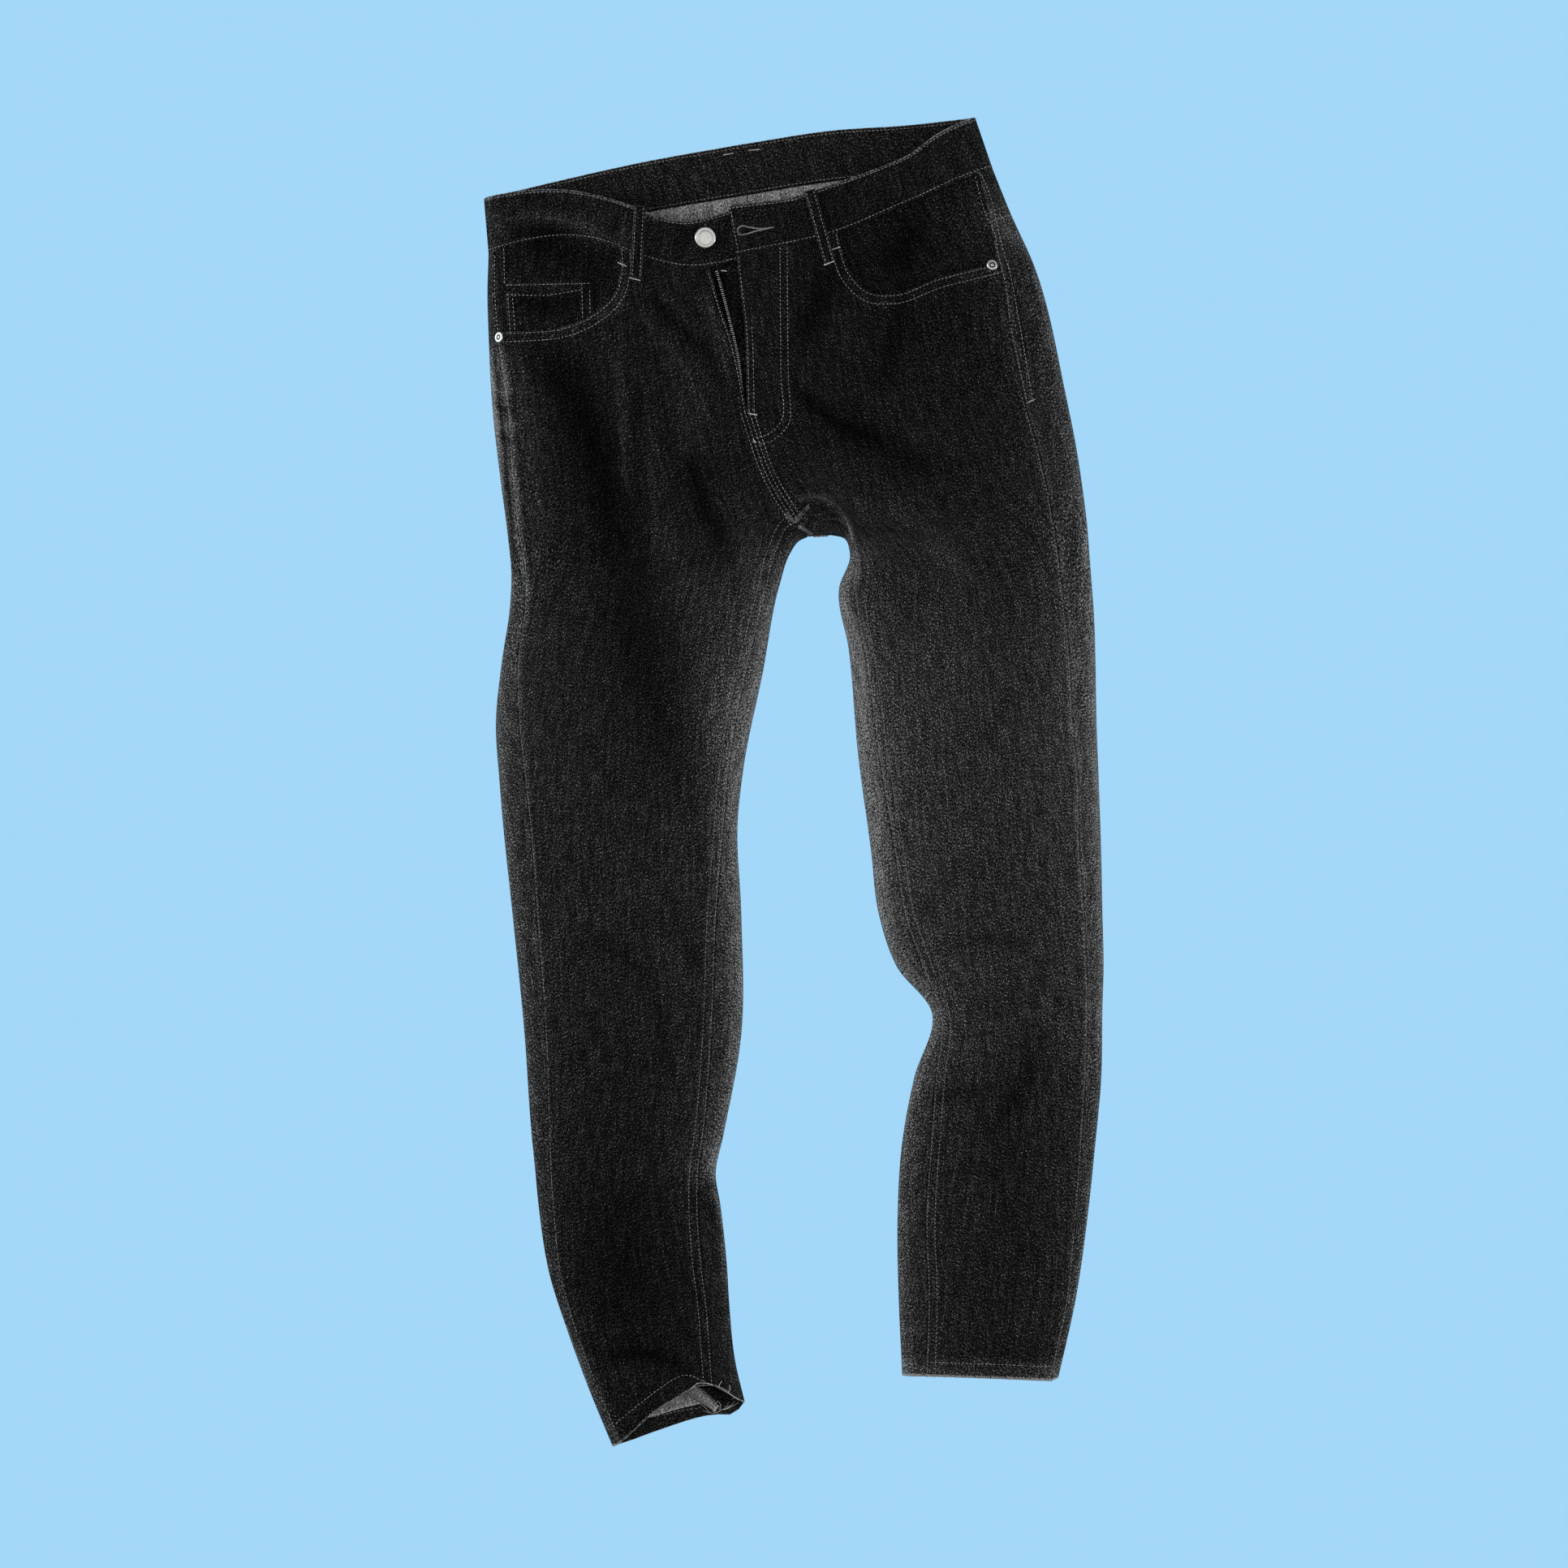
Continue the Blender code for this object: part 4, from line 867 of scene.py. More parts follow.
class Tone:
    """How much paler or darker the black cloth is drawn: partly wear, and partly painted light and shade on
    folds, creases and rolled edges.
    """

    # Stations of y, broad stops and narrow stops down each folded edge: a painted glow of light along the
    # rolled edge, partly edge wear
    edges = (
        ((-560, 0.5, 2.6), (-430, 0.6, 1.6), (-250, 0.9, 1.3), (-20, 1.2, 1.2), (80, 1.7, 1.0),
         (165, 1.5, 0.8), (200, 0.9, 1.2), (330, 1.1, 1.4), (400, 0.1, 1.2), (490, 0.0, 0.8)),
        ((-500, 0.7, 1.0), (-330, 0.8, 1.4), (-200, 0.9, 1.7), (0, 1.1, 1.5), (200, 1.7, 1.4),
         (330, 2.2, 1.0), (420, 1.9, 0.8), (490, 1.2, 0.6), (560, 0.4, 0.4)),
        ((-520, 0.5, 1.2), (-440, 0.4, 1.4), (-375, 0.3, 1.8), (-352, 0.2, 1.0), (-325, 0.8, 3.4),
         (-250, 1.0, 2.7), (-60, 1.4, 2.4), (60, 2.8, 1.5), (150, 1.8, 1.5), (195, 0.8, 1.0),
         (210, 0.1, 0.3)),
        ((-500, 1.2, 1.6), (-270, 1.3, 1.9), (-190, 0.9, 1.8), (-80, 1.5, 2.3), (60, 1.7, 4.1),
         (130, 1.0, 4.2), (190, 0.6, 2.2), (210, 0.1, 0.5)),
    )
    # How far the broad and the narrow glow reach in from each edge, in millimetres
    broad_reach = (34.0, 38.0, 56.0, 42.0)
    narrow_reach = (9.0, 8.0, 13.0, 10.0)
    # Stops for each unit of a stroke's strength
    depth = 1.45
    # Stops for each millimetre that a crease stands up or sinks: painted light on ridges and painted shade in
    # troughs, partly wear
    relief = 0.14
    limits = (0.25, 24.0)
    # How sharply the broad and the narrow glow end
    broad_fall = 1.4
    narrow_fall = 1.5
    # Stations of y and stops over the whole of each leg
    right_leg = ((-560, -0.1), (-450, 0.0), (-300, 0.5), (-150, 0.95), (0, 1.0), (150, 0.8), (250, 0.4),
                 (520, 0.4))
    left_leg = ((-502, 2.1), (-488, 1.5), (-480, 0.6), (-350, 0.75), (-260, 1.0), (-200, 1.5), (-100, 1.7),
                (0, 1.9), (100, 1.8), (200, 1.05), (310, 0.25), (420, 0.0), (560, 0.3))
    # The legs' tones pass into each other over this stretch of x
    between_x = (-15.0, 15.0)

    def __init__(self, lie: Lie) -> None:
        """Keeps the lie that gives the distances, and draws the strokes."""
        self.lie = lie
        self.strokes = [lie.bent(stroke) for stroke in STROKES]

    def at(self, points: np.ndarray) -> np.ndarray:
        """How many times paler than plain black denim the cloth is at plan points."""
        distance, which = self.lie.edge_distance(points)
        y = points[:, 1]
        stops = np.zeros(len(points))
        for k, stations in enumerate(self.edges):
            at = [s[0] for s in stations]
            broad = np.interp(y, at, [s[1] for s in stations])
            narrow = np.interp(y, at, [s[2] for s in stations])
            glow = broad * np.exp(-((distance / self.broad_reach[k]) ** self.broad_fall))
            glow += narrow * np.exp(-((distance / self.narrow_reach[k]) ** self.narrow_fall))
            stops += np.where(which == k, glow, 0.0)
        right = np.interp(y, [s[0] for s in self.right_leg], [s[1] for s in self.right_leg])
        left = np.interp(y, [s[0] for s in self.left_leg], [s[1] for s in self.left_leg])
        stops += right + (left - right) * ramp(points[:, 0], *self.between_x)
        # Painted shade and light from the strokes, and from the creases by their height, partly wear
        stops += self.depth * self.lie.bent_height(points, self.strokes)
        stops += self.relief * self.lie.bent_height(points, self.lie.creases)
        return np.clip(2.0 ** stops, *self.limits)

    def grid(self, plan: np.ndarray) -> np.ndarray:
        """How pale each place of a plan grid is, and one where there is no cloth."""
        found = np.ones(plan.shape[:2])
        present = ~np.isnan(plan[..., 0])
        found[present] = self.at(plan[present])
        return found


def linear(code: str) -> tuple[float, float, float, float]:
    """An sRGB hex colour as the linear values that a shader takes."""
    parts = [int(code[i:i + 2], 16) / 255.0 for i in (1, 3, 5)]
    flat = [c / 12.92 if c <= 0.04045 else ((c + 0.055) / 1.055) ** 2.4 for c in parts]
    return flat[0], flat[1], flat[2], 1.0


def add_node(tree: bpy.types.NodeTree, kind: str, inputs: dict | None = None, **settings) -> bpy.types.Node:
    """Adds a node with its settings, and sets or links its inputs.

    Args:
        tree: the tree that the node goes into.
        kind: the node's type.
        inputs: a value, or a socket to link from, for each input by name or number.
        settings: the node's own properties.

    Returns:
        The new node.
    """
    node = tree.nodes.new(kind)
    for name, value in settings.items():
        setattr(node, name, value)
    feed(node, inputs or {})
    return node


def feed(node: bpy.types.Node, inputs: dict) -> None:
    """Sets or links a node's inputs, each to a value or to the socket that feeds it."""
    for name, value in inputs.items():
        if isinstance(value, bpy.types.NodeSocket):
            node.id_data.links.new(value, node.inputs[name])
        else:
            node.inputs[name].default_value = value


def new_material(name: str) -> tuple[bpy.types.Material, bpy.types.NodeTree, bpy.types.Node]:
    """A new material, its tree and its shader."""
    material = bpy.data.materials.new(name)
    material.use_nodes = True
    return material, material.node_tree, material.node_tree.nodes["Principled BSDF"]


def place(name: str, data: bpy.types.ID) -> bpy.types.Object:
    """A new object of the scene that shows a mesh, a light or a camera."""
    made = bpy.data.objects.new(name, data)
    bpy.context.scene.collection.objects.link(made)
    return made


@dataclass(frozen=True)
class Denim:
    """Black warp-faced twill of sulphur-dyed cotton: matt, with pale weft that shows as specks."""

    name: str = "black_denim"
    warp: str = "#030303"
    weft: str = "#969696"
    shaped: bool = True
    # Real twill lines lie 0.6 mm apart, too fine to show; they are drawn about twice as coarse
    twill_mm: float = 0.9
    specks: float = 12.0
    slubs: float = 2.8
    clouds: float = 1.5
    weft_share: float = 0.0138
    sheen: float = 0.015
    # The twill's lean in the piece's plan, and how much longer than wide its specks are
    lean: float = math.radians(-27)
    stretch: float = 1.7
    # Slubs are long along the leg; the scales count waves in a metre
    slub_scale: tuple[float, float, float] = (330.0, 34.0, 330.0)
    cloud_scale: float = 110.0

    def build(self) -> bpy.types.Material:
        """The material, on the piece's own UV map and tone, or plain on object coordinates."""
        material, tree, shader = new_material(self.name)
        where = add_node(tree, "ShaderNodeTexCoord").outputs["UV" if self.shaped else "Object"]
        cell = 1.0 / (self.twill_mm * MM)
        turned = add_node(tree, "ShaderNodeMapping", {"Vector": where, "Rotation": (0, 0, self.lean)})
        grain = add_node(
            tree, "ShaderNodeMapping",
            {"Vector": turned.outputs[0], "Scale": (cell, cell / self.stretch, cell)},
        )
        speck = add_node(
            tree, "ShaderNodeTexNoise", {"Vector": grain.outputs[0], "Scale": 1.0, "Detail": 1.0}
        )
        along = add_node(tree, "ShaderNodeMapping", {"Vector": where, "Scale": self.slub_scale})
        slub = add_node(tree, "ShaderNodeTexNoise", {"Vector": along.outputs[0], "Scale": 1.0, "Detail": 3.0})
        cloud = add_node(
            tree, "ShaderNodeTexNoise", {"Vector": where, "Scale": self.cloud_scale, "Detail": 4.0}
        )
        level = -0.5 * (self.specks + self.slubs + self.clouds)
        for noise, weight in ((speck, self.specks), (slub, self.slubs), (cloud, self.clouds)):
            level = add_node(
                tree, "ShaderNodeMath", {0: noise.outputs[0], 1: weight, 2: level}, operation="MULTIPLY_ADD"
            ).outputs[0]
        spread = add_node(tree, "ShaderNodeMath", {0: level}, operation="EXPONENT").outputs[0]
        if self.shaped:
            tone = add_node(tree, "ShaderNodeAttribute", attribute_name="tone").outputs["Fac"]
            spread = add_node(tree, "ShaderNodeMath", {0: spread, 1: tone}, operation="MULTIPLY").outputs[0]
        share = add_node(
            tree, "ShaderNodeMath", {0: spread, 1: self.weft_share}, operation="MULTIPLY", use_clamp=True
        )
        colour = add_node(
            tree, "ShaderNodeMix",
            {0: share.outputs[0], 6: linear(self.warp), 7: linear(self.weft)}, data_type="RGBA",
        )
        bump = add_node(
            tree, "ShaderNodeBump",
            {"Height": speck.outputs[0], "Strength": 0.35, "Distance": 0.3 * MM},
        )
        feed(shader, {
            "Base Color": colour.outputs[2], "Normal": bump.outputs[0], "Roughness": 0.95,
            "Specular IOR Level": 0.0, "Sheen Weight": self.sheen, "Sheen Roughness": 0.4,
            "Sheen Tint": linear("#d3d3d3"),
        })
        return material


@dataclass(frozen=True)
class Thread:
    """Spun polyester sewing thread: pale, faintly glossy, with a soft twist."""

    name: str
    colour: str
    roughness: float = 0.6

    def build(self) -> bpy.types.Material:
        """The material, with the thread's small changes of tone."""
        material, tree, shader = new_material(self.name)
        where = add_node(tree, "ShaderNodeTexCoord").outputs["Object"]
        tone = add_node(tree, "ShaderNodeTexNoise", {"Vector": where, "Scale": 90.0, "Detail": 2.0})
        value = add_node(
            tree, "ShaderNodeMapRange",
            {"Value": tone.outputs[0], "From Min": 0.3, "From Max": 0.7, "To Min": 0.45, "To Max": 1.15},
        )
        colour = add_node(
            tree, "ShaderNodeHueSaturation", {"Value": value.outputs[0], "Color": linear(self.colour)},
        )
        feed(shader, {
            "Base Color": colour.outputs[0], "Roughness": self.roughness, "Specular IOR Level": 0.3,
        })
        return material


@dataclass(frozen=True)
class Metal:
    """Nickel-plated zinc casting, tumbled: a soft bright grey with a fine grain."""

    name: str = "nickel_plate"
    colour: str = "#c9c9c6"
    roughness: float = 0.38

    def build(self) -> bpy.types.Material:
        """The material, with handling marks in its roughness."""
        material, tree, shader = new_material(self.name)
        where = add_node(tree, "ShaderNodeTexCoord").outputs["Object"]
        marks = add_node(tree, "ShaderNodeTexNoise", {"Vector": where, "Scale": 900.0, "Detail": 3.0})
        rough = add_node(
            tree, "ShaderNodeMapRange",
            {"Value": marks.outputs[0], "From Min": 0.3, "From Max": 0.7,
             "To Min": self.roughness - 0.08, "To Max": self.roughness + 0.14},
        )
        bump = add_node(
            tree, "ShaderNodeBump", {"Height": marks.outputs[0], "Strength": 0.12, "Distance": 0.05 * MM}
        )
        feed(shader, {
            "Roughness": rough.outputs[0], "Normal": bump.outputs[0], "Base Color": linear(self.colour),
            "Metallic": 1.0,
        })
        return material


class Wardrobe:
    """The finishes, built once."""

    def __init__(self) -> None:
        """Builds the cloths, the threads and the metals."""
        self.denim = Denim().build()
        self.inside = Denim(
            "denim_inside", warp="#3b3b3b", weft="#d8d8d8", specks=7.0, weft_share=0.3
        ).build()
        self.plain = Denim("black_denim_by_object", shaped=False).build()
        self.tape = Denim("zip_tape", shaped=False, weft="#4a4a4c", slubs=0.5, weft_share=0.02).build()
        self.grey_thread = Thread("grey_thread", "#9f9f9f").build()
        self.dim_thread = Thread("worn_thread", "#8a8a8a").build()
        self.bright_thread = Thread("pale_thread", "#dfdfdf").build()
        self.metal = Metal().build()
        self.teeth = Metal("zip_teeth", "#b4b5b7", 0.4).build()
        # Dark metal that is painted shade in the rivets' recesses
        self.recess_shade_metal = Metal("painted_shade_metal", "#4a4a4c", 0.5).build()


@dataclass(frozen=True)
class Cut:
    """The flat size that a sheet was cut to, in metres and square metres."""

    width: float
    length: float
    area: float | None = None


class ClothPiece:
    """A thin shell of cloth, made from a grid of points on its outer side."""

    # How many times paler the worn hem band that is turned up inside is
    turned_tone = 2.6
    # How far a cut edge is drawn in, as a share of the wall
    edge_pull = 0.35

    def __init__(self, name: str, wardrobe: Wardrobe, wall: float = 1.1, inner_tone: float = 1.0) -> None:
        """Starts an empty piece of a wall thickness in millimetres, and how pale its inner side is."""
        self.name = name
        self.wardrobe = wardrobe
        self.wall = wall
        self.inner_tone = inner_tone

    @staticmethod
    def _cells(
        points: np.ndarray, drop: np.ndarray | None
    ) -> tuple[np.ndarray, np.ndarray, np.ndarray]:
        """The kept cells by their corners, the row of each, and the grid points that they use."""
        rows, columns = points.shape[:2]
        index = np.arange(rows * columns).reshape(rows, columns)
        quads = np.stack([index[:-1, :-1], index[1:, :-1], index[1:, 1:], index[:-1, 1:]], axis=2)
        keep = ~np.isnan(points[..., 0]).ravel()[quads].any(axis=2)
        if drop is not None:
            keep &= ~drop
        quads = quads[keep]
        used = np.unique(quads)
        fresh = np.full(rows * columns, -1)
        fresh[used] = np.arange(len(used))
        return fresh[quads], np.argwhere(keep)[:, 0], used

    @staticmethod
    def _outer_side(
        base: np.ndarray, quads: np.ndarray, facing: np.ndarray
    ) -> tuple[np.ndarray, np.ndarray, float]:
        """The cells turned to face outwards, the normal at each point, and the area."""
        diagonal = np.cross(base[quads[:, 2]] - base[quads[:, 0]], base[quads[:, 3]] - base[quads[:, 1]])
        if diagonal[0] @ np.asarray(facing, float) < 0:
            quads = quads[:, ::-1]
            diagonal = -diagonal
        normal = np.zeros_like(base)
        for corner in range(4):
            np.add.at(normal, quads[:, corner], diagonal)
        normal /= np.linalg.norm(normal, axis=1)[:, None] + TINY
        return quads, normal, np.linalg.norm(diagonal, axis=1).sum() / 2

    @staticmethod
    def _rim(base: np.ndarray, quads: np.ndarray, normal: np.ndarray) -> tuple[np.ndarray, np.ndarray]:
        """The cloth's cut and folded edges, and the way out of the cloth at each point of them."""
        edges = np.stack([quads, np.roll(quads, -1, axis=1)], axis=2).reshape(-1, 2)
        code = edges[:, 0] * len(base) + edges[:, 1]
        mirror = edges[:, 1] * len(base) + edges[:, 0]
        border = edges[~np.isin(code, mirror)]
        push = np.cross(base[border[:, 1]] - base[border[:, 0]], normal[border[:, 0]])
        push /= np.linalg.norm(push, axis=1)[:, None] + TINY
        out = np.zeros_like(base)
        for end in range(2):
            np.add.at(out, border[:, end], push)
        length = np.linalg.norm(out, axis=1)[:, None]
        return border, np.where(length > 1e-9, out / (length + TINY), 0.0)

    @staticmethod
    def cloth_coordinates(points: np.ndarray) -> np.ndarray:
        """A flat place in metres for each grid point, measured along the cloth."""
        down = np.linalg.norm(np.diff(points, axis=0), axis=2)
        across = np.nan_to_num(np.linalg.norm(np.diff(points, axis=1), axis=2))
        v = np.concatenate([[0.0], np.cumsum(np.nanmean(down, axis=1))])
        u = np.concatenate([np.zeros((len(points), 1)), np.cumsum(across, axis=1)], axis=1)
        u -= u[:, -1:] / 2
        return np.stack([u, np.broadcast_to(-v[:, None], u.shape)], axis=2) * MM

    def build(
        self,
        points: np.ndarray,
        facing: np.ndarray,
        tone: np.ndarray,
        wear_and_highlight: np.ndarray,
        drop: np.ndarray | None = None,
        turned_rows: int = 0,
        depth: float = 0.0,
    ) -> bpy.types.Object:
        """Makes the shell.

        Args:
            points: the grid, in millimetres, with nan where there is no cloth.
            facing: a direction that the first cell's outer side faces.
            tone: how many times paler than plain denim each grid point is.
            wear_and_highlight: by how many stops paler the cut or folded edge is drawn at each grid point,
                partly wear and partly a painted highlight.
            drop: cells to leave out.
            turned_rows: rows at the end whose inner side shows the outside of the denim.
            depth: how far below the grid the outer side lies.

        Returns:
            The piece, with the denim outside and its pale side inside.
        """
        quads, cell_rows, used = self._cells(points, drop)
        base = points.reshape(-1, 3)[used]
        uv = self.cloth_coordinates(points).reshape(-1, 2)[used]
        quads, normal, area = self._outer_side(base, quads, facing)
        border, out = self._rim(base, quads, normal)
        LOG.info("%s: %.4f square metres", self.name, area * MM * MM)
        base = base - normal * depth
        pull = out * self.wall * self.edge_pull
        outer, inner = base - pull, base - normal * self.wall - pull
        count = len(base)
        rim_index = np.unique(border)
        rim_fresh = np.full(count, -1)
        rim_fresh[rim_index] = np.arange(len(rim_index)) + 2 * count
        middle = (base - normal * self.wall / 2)[rim_index]
        a, b = border[:, 0], border[:, 1]
        faces = np.vstack([
            quads,
            quads[:, ::-1] + count,
            np.stack([b, a, rim_fresh[a], rim_fresh[b]], axis=1),
            np.stack([rim_fresh[b], rim_fresh[a], a + count, b + count], axis=1),
        ])
        turned = len(points) - 1 - turned_rows
        inner_slot = np.where(cell_rows >= turned, 0, 1)
        slots = np.concatenate([np.zeros(len(quads)), inner_slot, np.zeros(2 * len(border))])
        tone = tone.reshape(-1)[used]
        # Cut and folded edges are drawn paler: partly wear, partly a painted highlight
        rim_tone = tone * 2.0 ** wear_and_highlight.reshape(-1)[used]
        on_rim = np.isin(np.arange(count), rim_index)
        half_wear_and_highlight = np.sqrt(tone * rim_tone)
        used_rows = used // points.shape[1]
        inner_tone = np.where(used_rows >= turned, self.turned_tone, self.inner_tone)
        tones = np.concatenate([np.where(on_rim, half_wear_and_highlight, tone), inner_tone, rim_tone[rim_index]])
        places = np.vstack([uv, uv, uv[rim_index]])
        vertices = np.vstack([outer, inner, middle]) * MM
        return self._mesh(vertices, faces, slots.astype(np.int32), places, tones)

    def _mesh(
        self, vertices: np.ndarray, faces: np.ndarray, slots: np.ndarray, uv: np.ndarray, tone: np.ndarray
    ) -> bpy.types.Object:
        """Writes vertices and four-sided faces into a new object."""
        mesh = bpy.data.meshes.new(self.name)
        mesh.vertices.add(len(vertices))
        mesh.vertices.foreach_set("co", vertices.astype(np.float32).ravel())
        mesh.loops.add(faces.size)
        mesh.loops.foreach_set("vertex_index", faces.astype(np.int32).ravel())
        mesh.polygons.add(len(faces))
        mesh.polygons.foreach_set("loop_start", np.arange(0, faces.size, 4, dtype=np.int32))
        mesh.polygons.foreach_set("material_index", slots)
        mesh.update(calc_edges=True)
        layer = mesh.uv_layers.new(name="cloth")
        layer.data.foreach_set("uv", uv[faces.ravel()].astype(np.float32).ravel())
        attribute = mesh.attributes.new("tone", "FLOAT", "POINT")
        attribute.data.foreach_set("value", tone.astype(np.float32))
        mesh.materials.append(self.wardrobe.denim)
        mesh.materials.append(self.wardrobe.inside)
        mesh.shade_smooth()
        mesh.validate()
        return place(self.name, mesh)


def declare(piece: bpy.types.Object, nodes: tuple[str, ...]) -> None:
    """Puts a finished piece on the body, hides the nodes that it stands for, and logs its faces."""
    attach(piece, "root")
    if nodes:
        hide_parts(*nodes)
    LOG.info("%s: %d faces", piece.name, len(piece.data.polygons))


def fine_shares(width: float, edge: float, fine: float, coarse: float) -> np.ndarray:
    """Shares across a strip of cloth, close together near both of its edges."""
    near = np.linspace(0, edge, max(2, round(edge / fine)) + 1)
    middle = np.linspace(edge, width - edge, max(2, round((width - 2 * edge) / coarse)) + 1)
    places = np.concatenate([near, middle[1:-1], width - near[::-1]])
    return places / width


@dataclass
class Legs:
    """The fronts, backs and yokes, which make both legs and the seat."""

    lie: Lie
    tone: Tone
    wardrobe: Wardrobe
    # Columns that wrap up from the underside to the side seam, and to the inseam
    outer_wrap: int = 8
    inner_wrap: int = 8
    # How many times paler the cloth is in a seam's groove, which is painted shade, on the ridge beside it,
    # which is partly wear and partly a painted highlight, and at the hem
    groove_painted_shade: float = 0.35
    ridge_wear_and_highlight: float = 1.7
    hem_tone: float = 3.4
    # The most that the underside is paler
    under_tone: float = 2.0
    # By how many stops paler a cut or folded edge is drawn: partly wear, partly a painted highlight
    front_wear_and_highlight: float = 0.5
    back_wear_and_highlight: float = 0.3
    inseam_wear_and_highlight: float = 1.2
    mouth_wear_and_highlight: float = 1.5
    back_side_wear_and_highlight: float = 2.0
    side_wear_and_highlight: float = 2.2
    hem_wear_and_highlight: float = 5.0
    # Rows past the left crotch down to which the inseam's edge is drawn as pale as a hem's, with wear and a
    # painted highlight
    bright_rows: int = 60
    # How far the pocket mouth's edge, paler with wear and a painted highlight, and its lap reach
    mouth_edge: float = 1.5
    mouth_lap: float = 9.0
    # The share of the last section, and the rows of a back, that the hem is turned up
    turned_share: float = 0.24
    turned_rows: int = 6
    # Places in millimetres from a fold where the underside's columns lie, and how many lie between
    near: tuple[float, ...] = (0.0, 0.3, 0.9, 1.8, 3.0, 4.6, 6.4, 8.0)
    middle_columns: int = 10
    # How much wider they lie beside the middle of the seat
    seat_spread: float = 6.0
    cuts: dict[str, Cut] = field(default_factory=lambda: {
        "front_right": Cut(0.245, 1.06, 0.160),
        "front_left": Cut(0.260, 1.06, 0.170),
        "back_right": Cut(0.300, 1.05, 0.215),
        "back_left": Cut(0.310, 1.05, 0.215),
        "yoke_right": Cut(0.235, 0.075, 0.0125),
        "yoke_left": Cut(0.235, 0.075, 0.0125),
    })

    def build(self) -> None:
        """Makes and declares all six panels."""
        for half in Half:
            self._front(half)
            self._back(half)

    def _front(self, half: Half) -> None:
        """A front, with its pocket mouth cut out of its upper corner."""
        pattern = self.lie.pattern
        shares = fine_shares(width=170.0, edge=13.0, fine=1.5, coarse=3.4)
        plan = pattern.tucked(pattern.front_plan(half, shares))
        plan, drop = self._cut_mouth(plan, half)
        points = self.lie.raised(plan, half.face)
        wear_and_highlight = np.full(plan.shape[:2], self.front_wear_and_highlight)
        wear_and_highlight[-1] = self.hem_wear_and_highlight
        mouth_gap = np.abs(line_distance(plan.reshape(-1, 2), pattern.mouth(half))[0])
        mouth_gap = mouth_gap.reshape(plan.shape[:2])
        wear_and_highlight[mouth_gap < self.mouth_edge] = self.mouth_wear_and_highlight
        wear_and_highlight[:pattern.fly_index(half), -1] = self.mouth_wear_and_highlight
        crotch = pattern.crotch_index(half)
        wear_and_highlight[crotch:, -1] = self.inseam_wear_and_highlight
        wear_and_highlight[:, 0] = self.side_wear_and_highlight
        if half is Half.LEFT:
            wear_and_highlight[crotch - 2:crotch + self.bright_rows, -1] = self.hem_wear_and_highlight
        tone = self.tone.grid(plan)
        # The lap by the pocket mouth and each seam's ridge are paler with wear and a painted highlight; each
        # seam's groove is painted shade
        tone[mouth_gap < self.mouth_lap] *= self.ridge_wear_and_highlight ** 0.5
        tone[-1] *= self.hem_tone
        tone[:, 0] *= self.groove_painted_shade
        tone[:, 1:3] *= self.ridge_wear_and_highlight
        tone[crotch:, -1] *= self.groove_painted_shade
        tone[crotch:, -3:-1] *= self.ridge_wear_and_highlight ** 0.5
        name = "front_" + half.value
        piece = ClothPiece(name + "_cloth", self.wardrobe)
        turned = int(np.sum(np.array(pattern.rows[half]) > pattern.rows[half][-1] - self.turned_share))
        made = piece.build(points, (0, 0, 1), tone, wear_and_highlight, drop=drop, turned_rows=turned)
        declare(made, (name,))

    def _cut_mouth(self, plan: np.ndarray, half: Half) -> tuple[np.ndarray, np.ndarray]:
        """Draws the cells on the pocket mouth up to its edge, and names those inside it.

        Args:
            plan: the front's grid in plan.
            half: which front it is.

        Returns:
            The grid with its cut edge, and the cells to leave out.
        """
        mouth = self.lie.pattern.mouth(half)
        corner = np.array(CORNER_RIGHT if half is Half.RIGHT else CORNER_LEFT, float)
        ring = np.vstack([mouth, corner])
        flat = plan.reshape(-1, 2)
        inside = np.zeros(len(flat), bool)
        following = np.roll(ring, -1, axis=0)
        for (ax, ay), (bx, by) in zip(ring, following):
            crosses = (flat[:, 1] < ay) != (flat[:, 1] < by)
            if ay != by:
                at = ax + (flat[:, 1] - ay) / (by - ay) * (bx - ax)
                inside ^= crosses & (flat[:, 0] < at)
        held = inside.reshape(plan.shape[:2])
        count = (held[:-1, :-1].astype(int) + held[1:, :-1] + held[1:, 1:] + held[:-1, 1:])
        drop = count == 4
        edge = np.zeros_like(held)
        crossing = (count > 0) & (count < 4)
        for i, j in ((0, 0), (1, 0), (1, 1), (0, 1)):
            edge[i:edge.shape[0] - 1 + i, j:edge.shape[1] - 1 + j] |= crossing
        for k in np.flatnonzero((edge & held).ravel()):
            flat[k] = mouth[np.linalg.norm(mouth - flat[k], axis=1).argmin()]
        return flat.reshape(plan.shape), drop

    def _back(self, half: Half) -> None:
        """A back and the yoke above it, which wrap round the sides to the side seams."""
        points, plan = self.back_grid(half)
        pattern = self.lie.pattern
        split = pattern.rows[half].index(float(YOKE_ROW))
        tone = self.tone.grid(plan)
        under = slice(self.outer_wrap, points.shape[1] - self.inner_wrap)
        tone[:, under] = np.minimum(tone[:, under], self.under_tone)
        tone[-1] *= self.hem_tone
        wear_and_highlight = np.full(points.shape[:2], self.back_wear_and_highlight)
        wear_and_highlight[:, 0] = self.back_side_wear_and_highlight
        wear_and_highlight[-1] = self.hem_wear_and_highlight
        away = np.array((half.side, 0.0, 1.0))
        parts = {
            "yoke_": (slice(0, split + 1), 0, ("front_" + half.value,)),
            "back_": (slice(split, None), self.turned_rows, ()),
        }
        for word, (rows, turned, rests_on) in parts.items():
            name = word + half.value
            grid = points[rows]
            first = grid[1, 0] - grid[0, 0]
            outward = np.cross(first, grid[0, 1] - grid[0, 0])
            facing = outward if outward @ away > 0 else -outward
            made = ClothPiece(name + "_cloth", self.wardrobe).build(
                grid, facing, tone[rows], wear_and_highlight[rows], turned_rows=turned
            )
            declare(made, (name,))

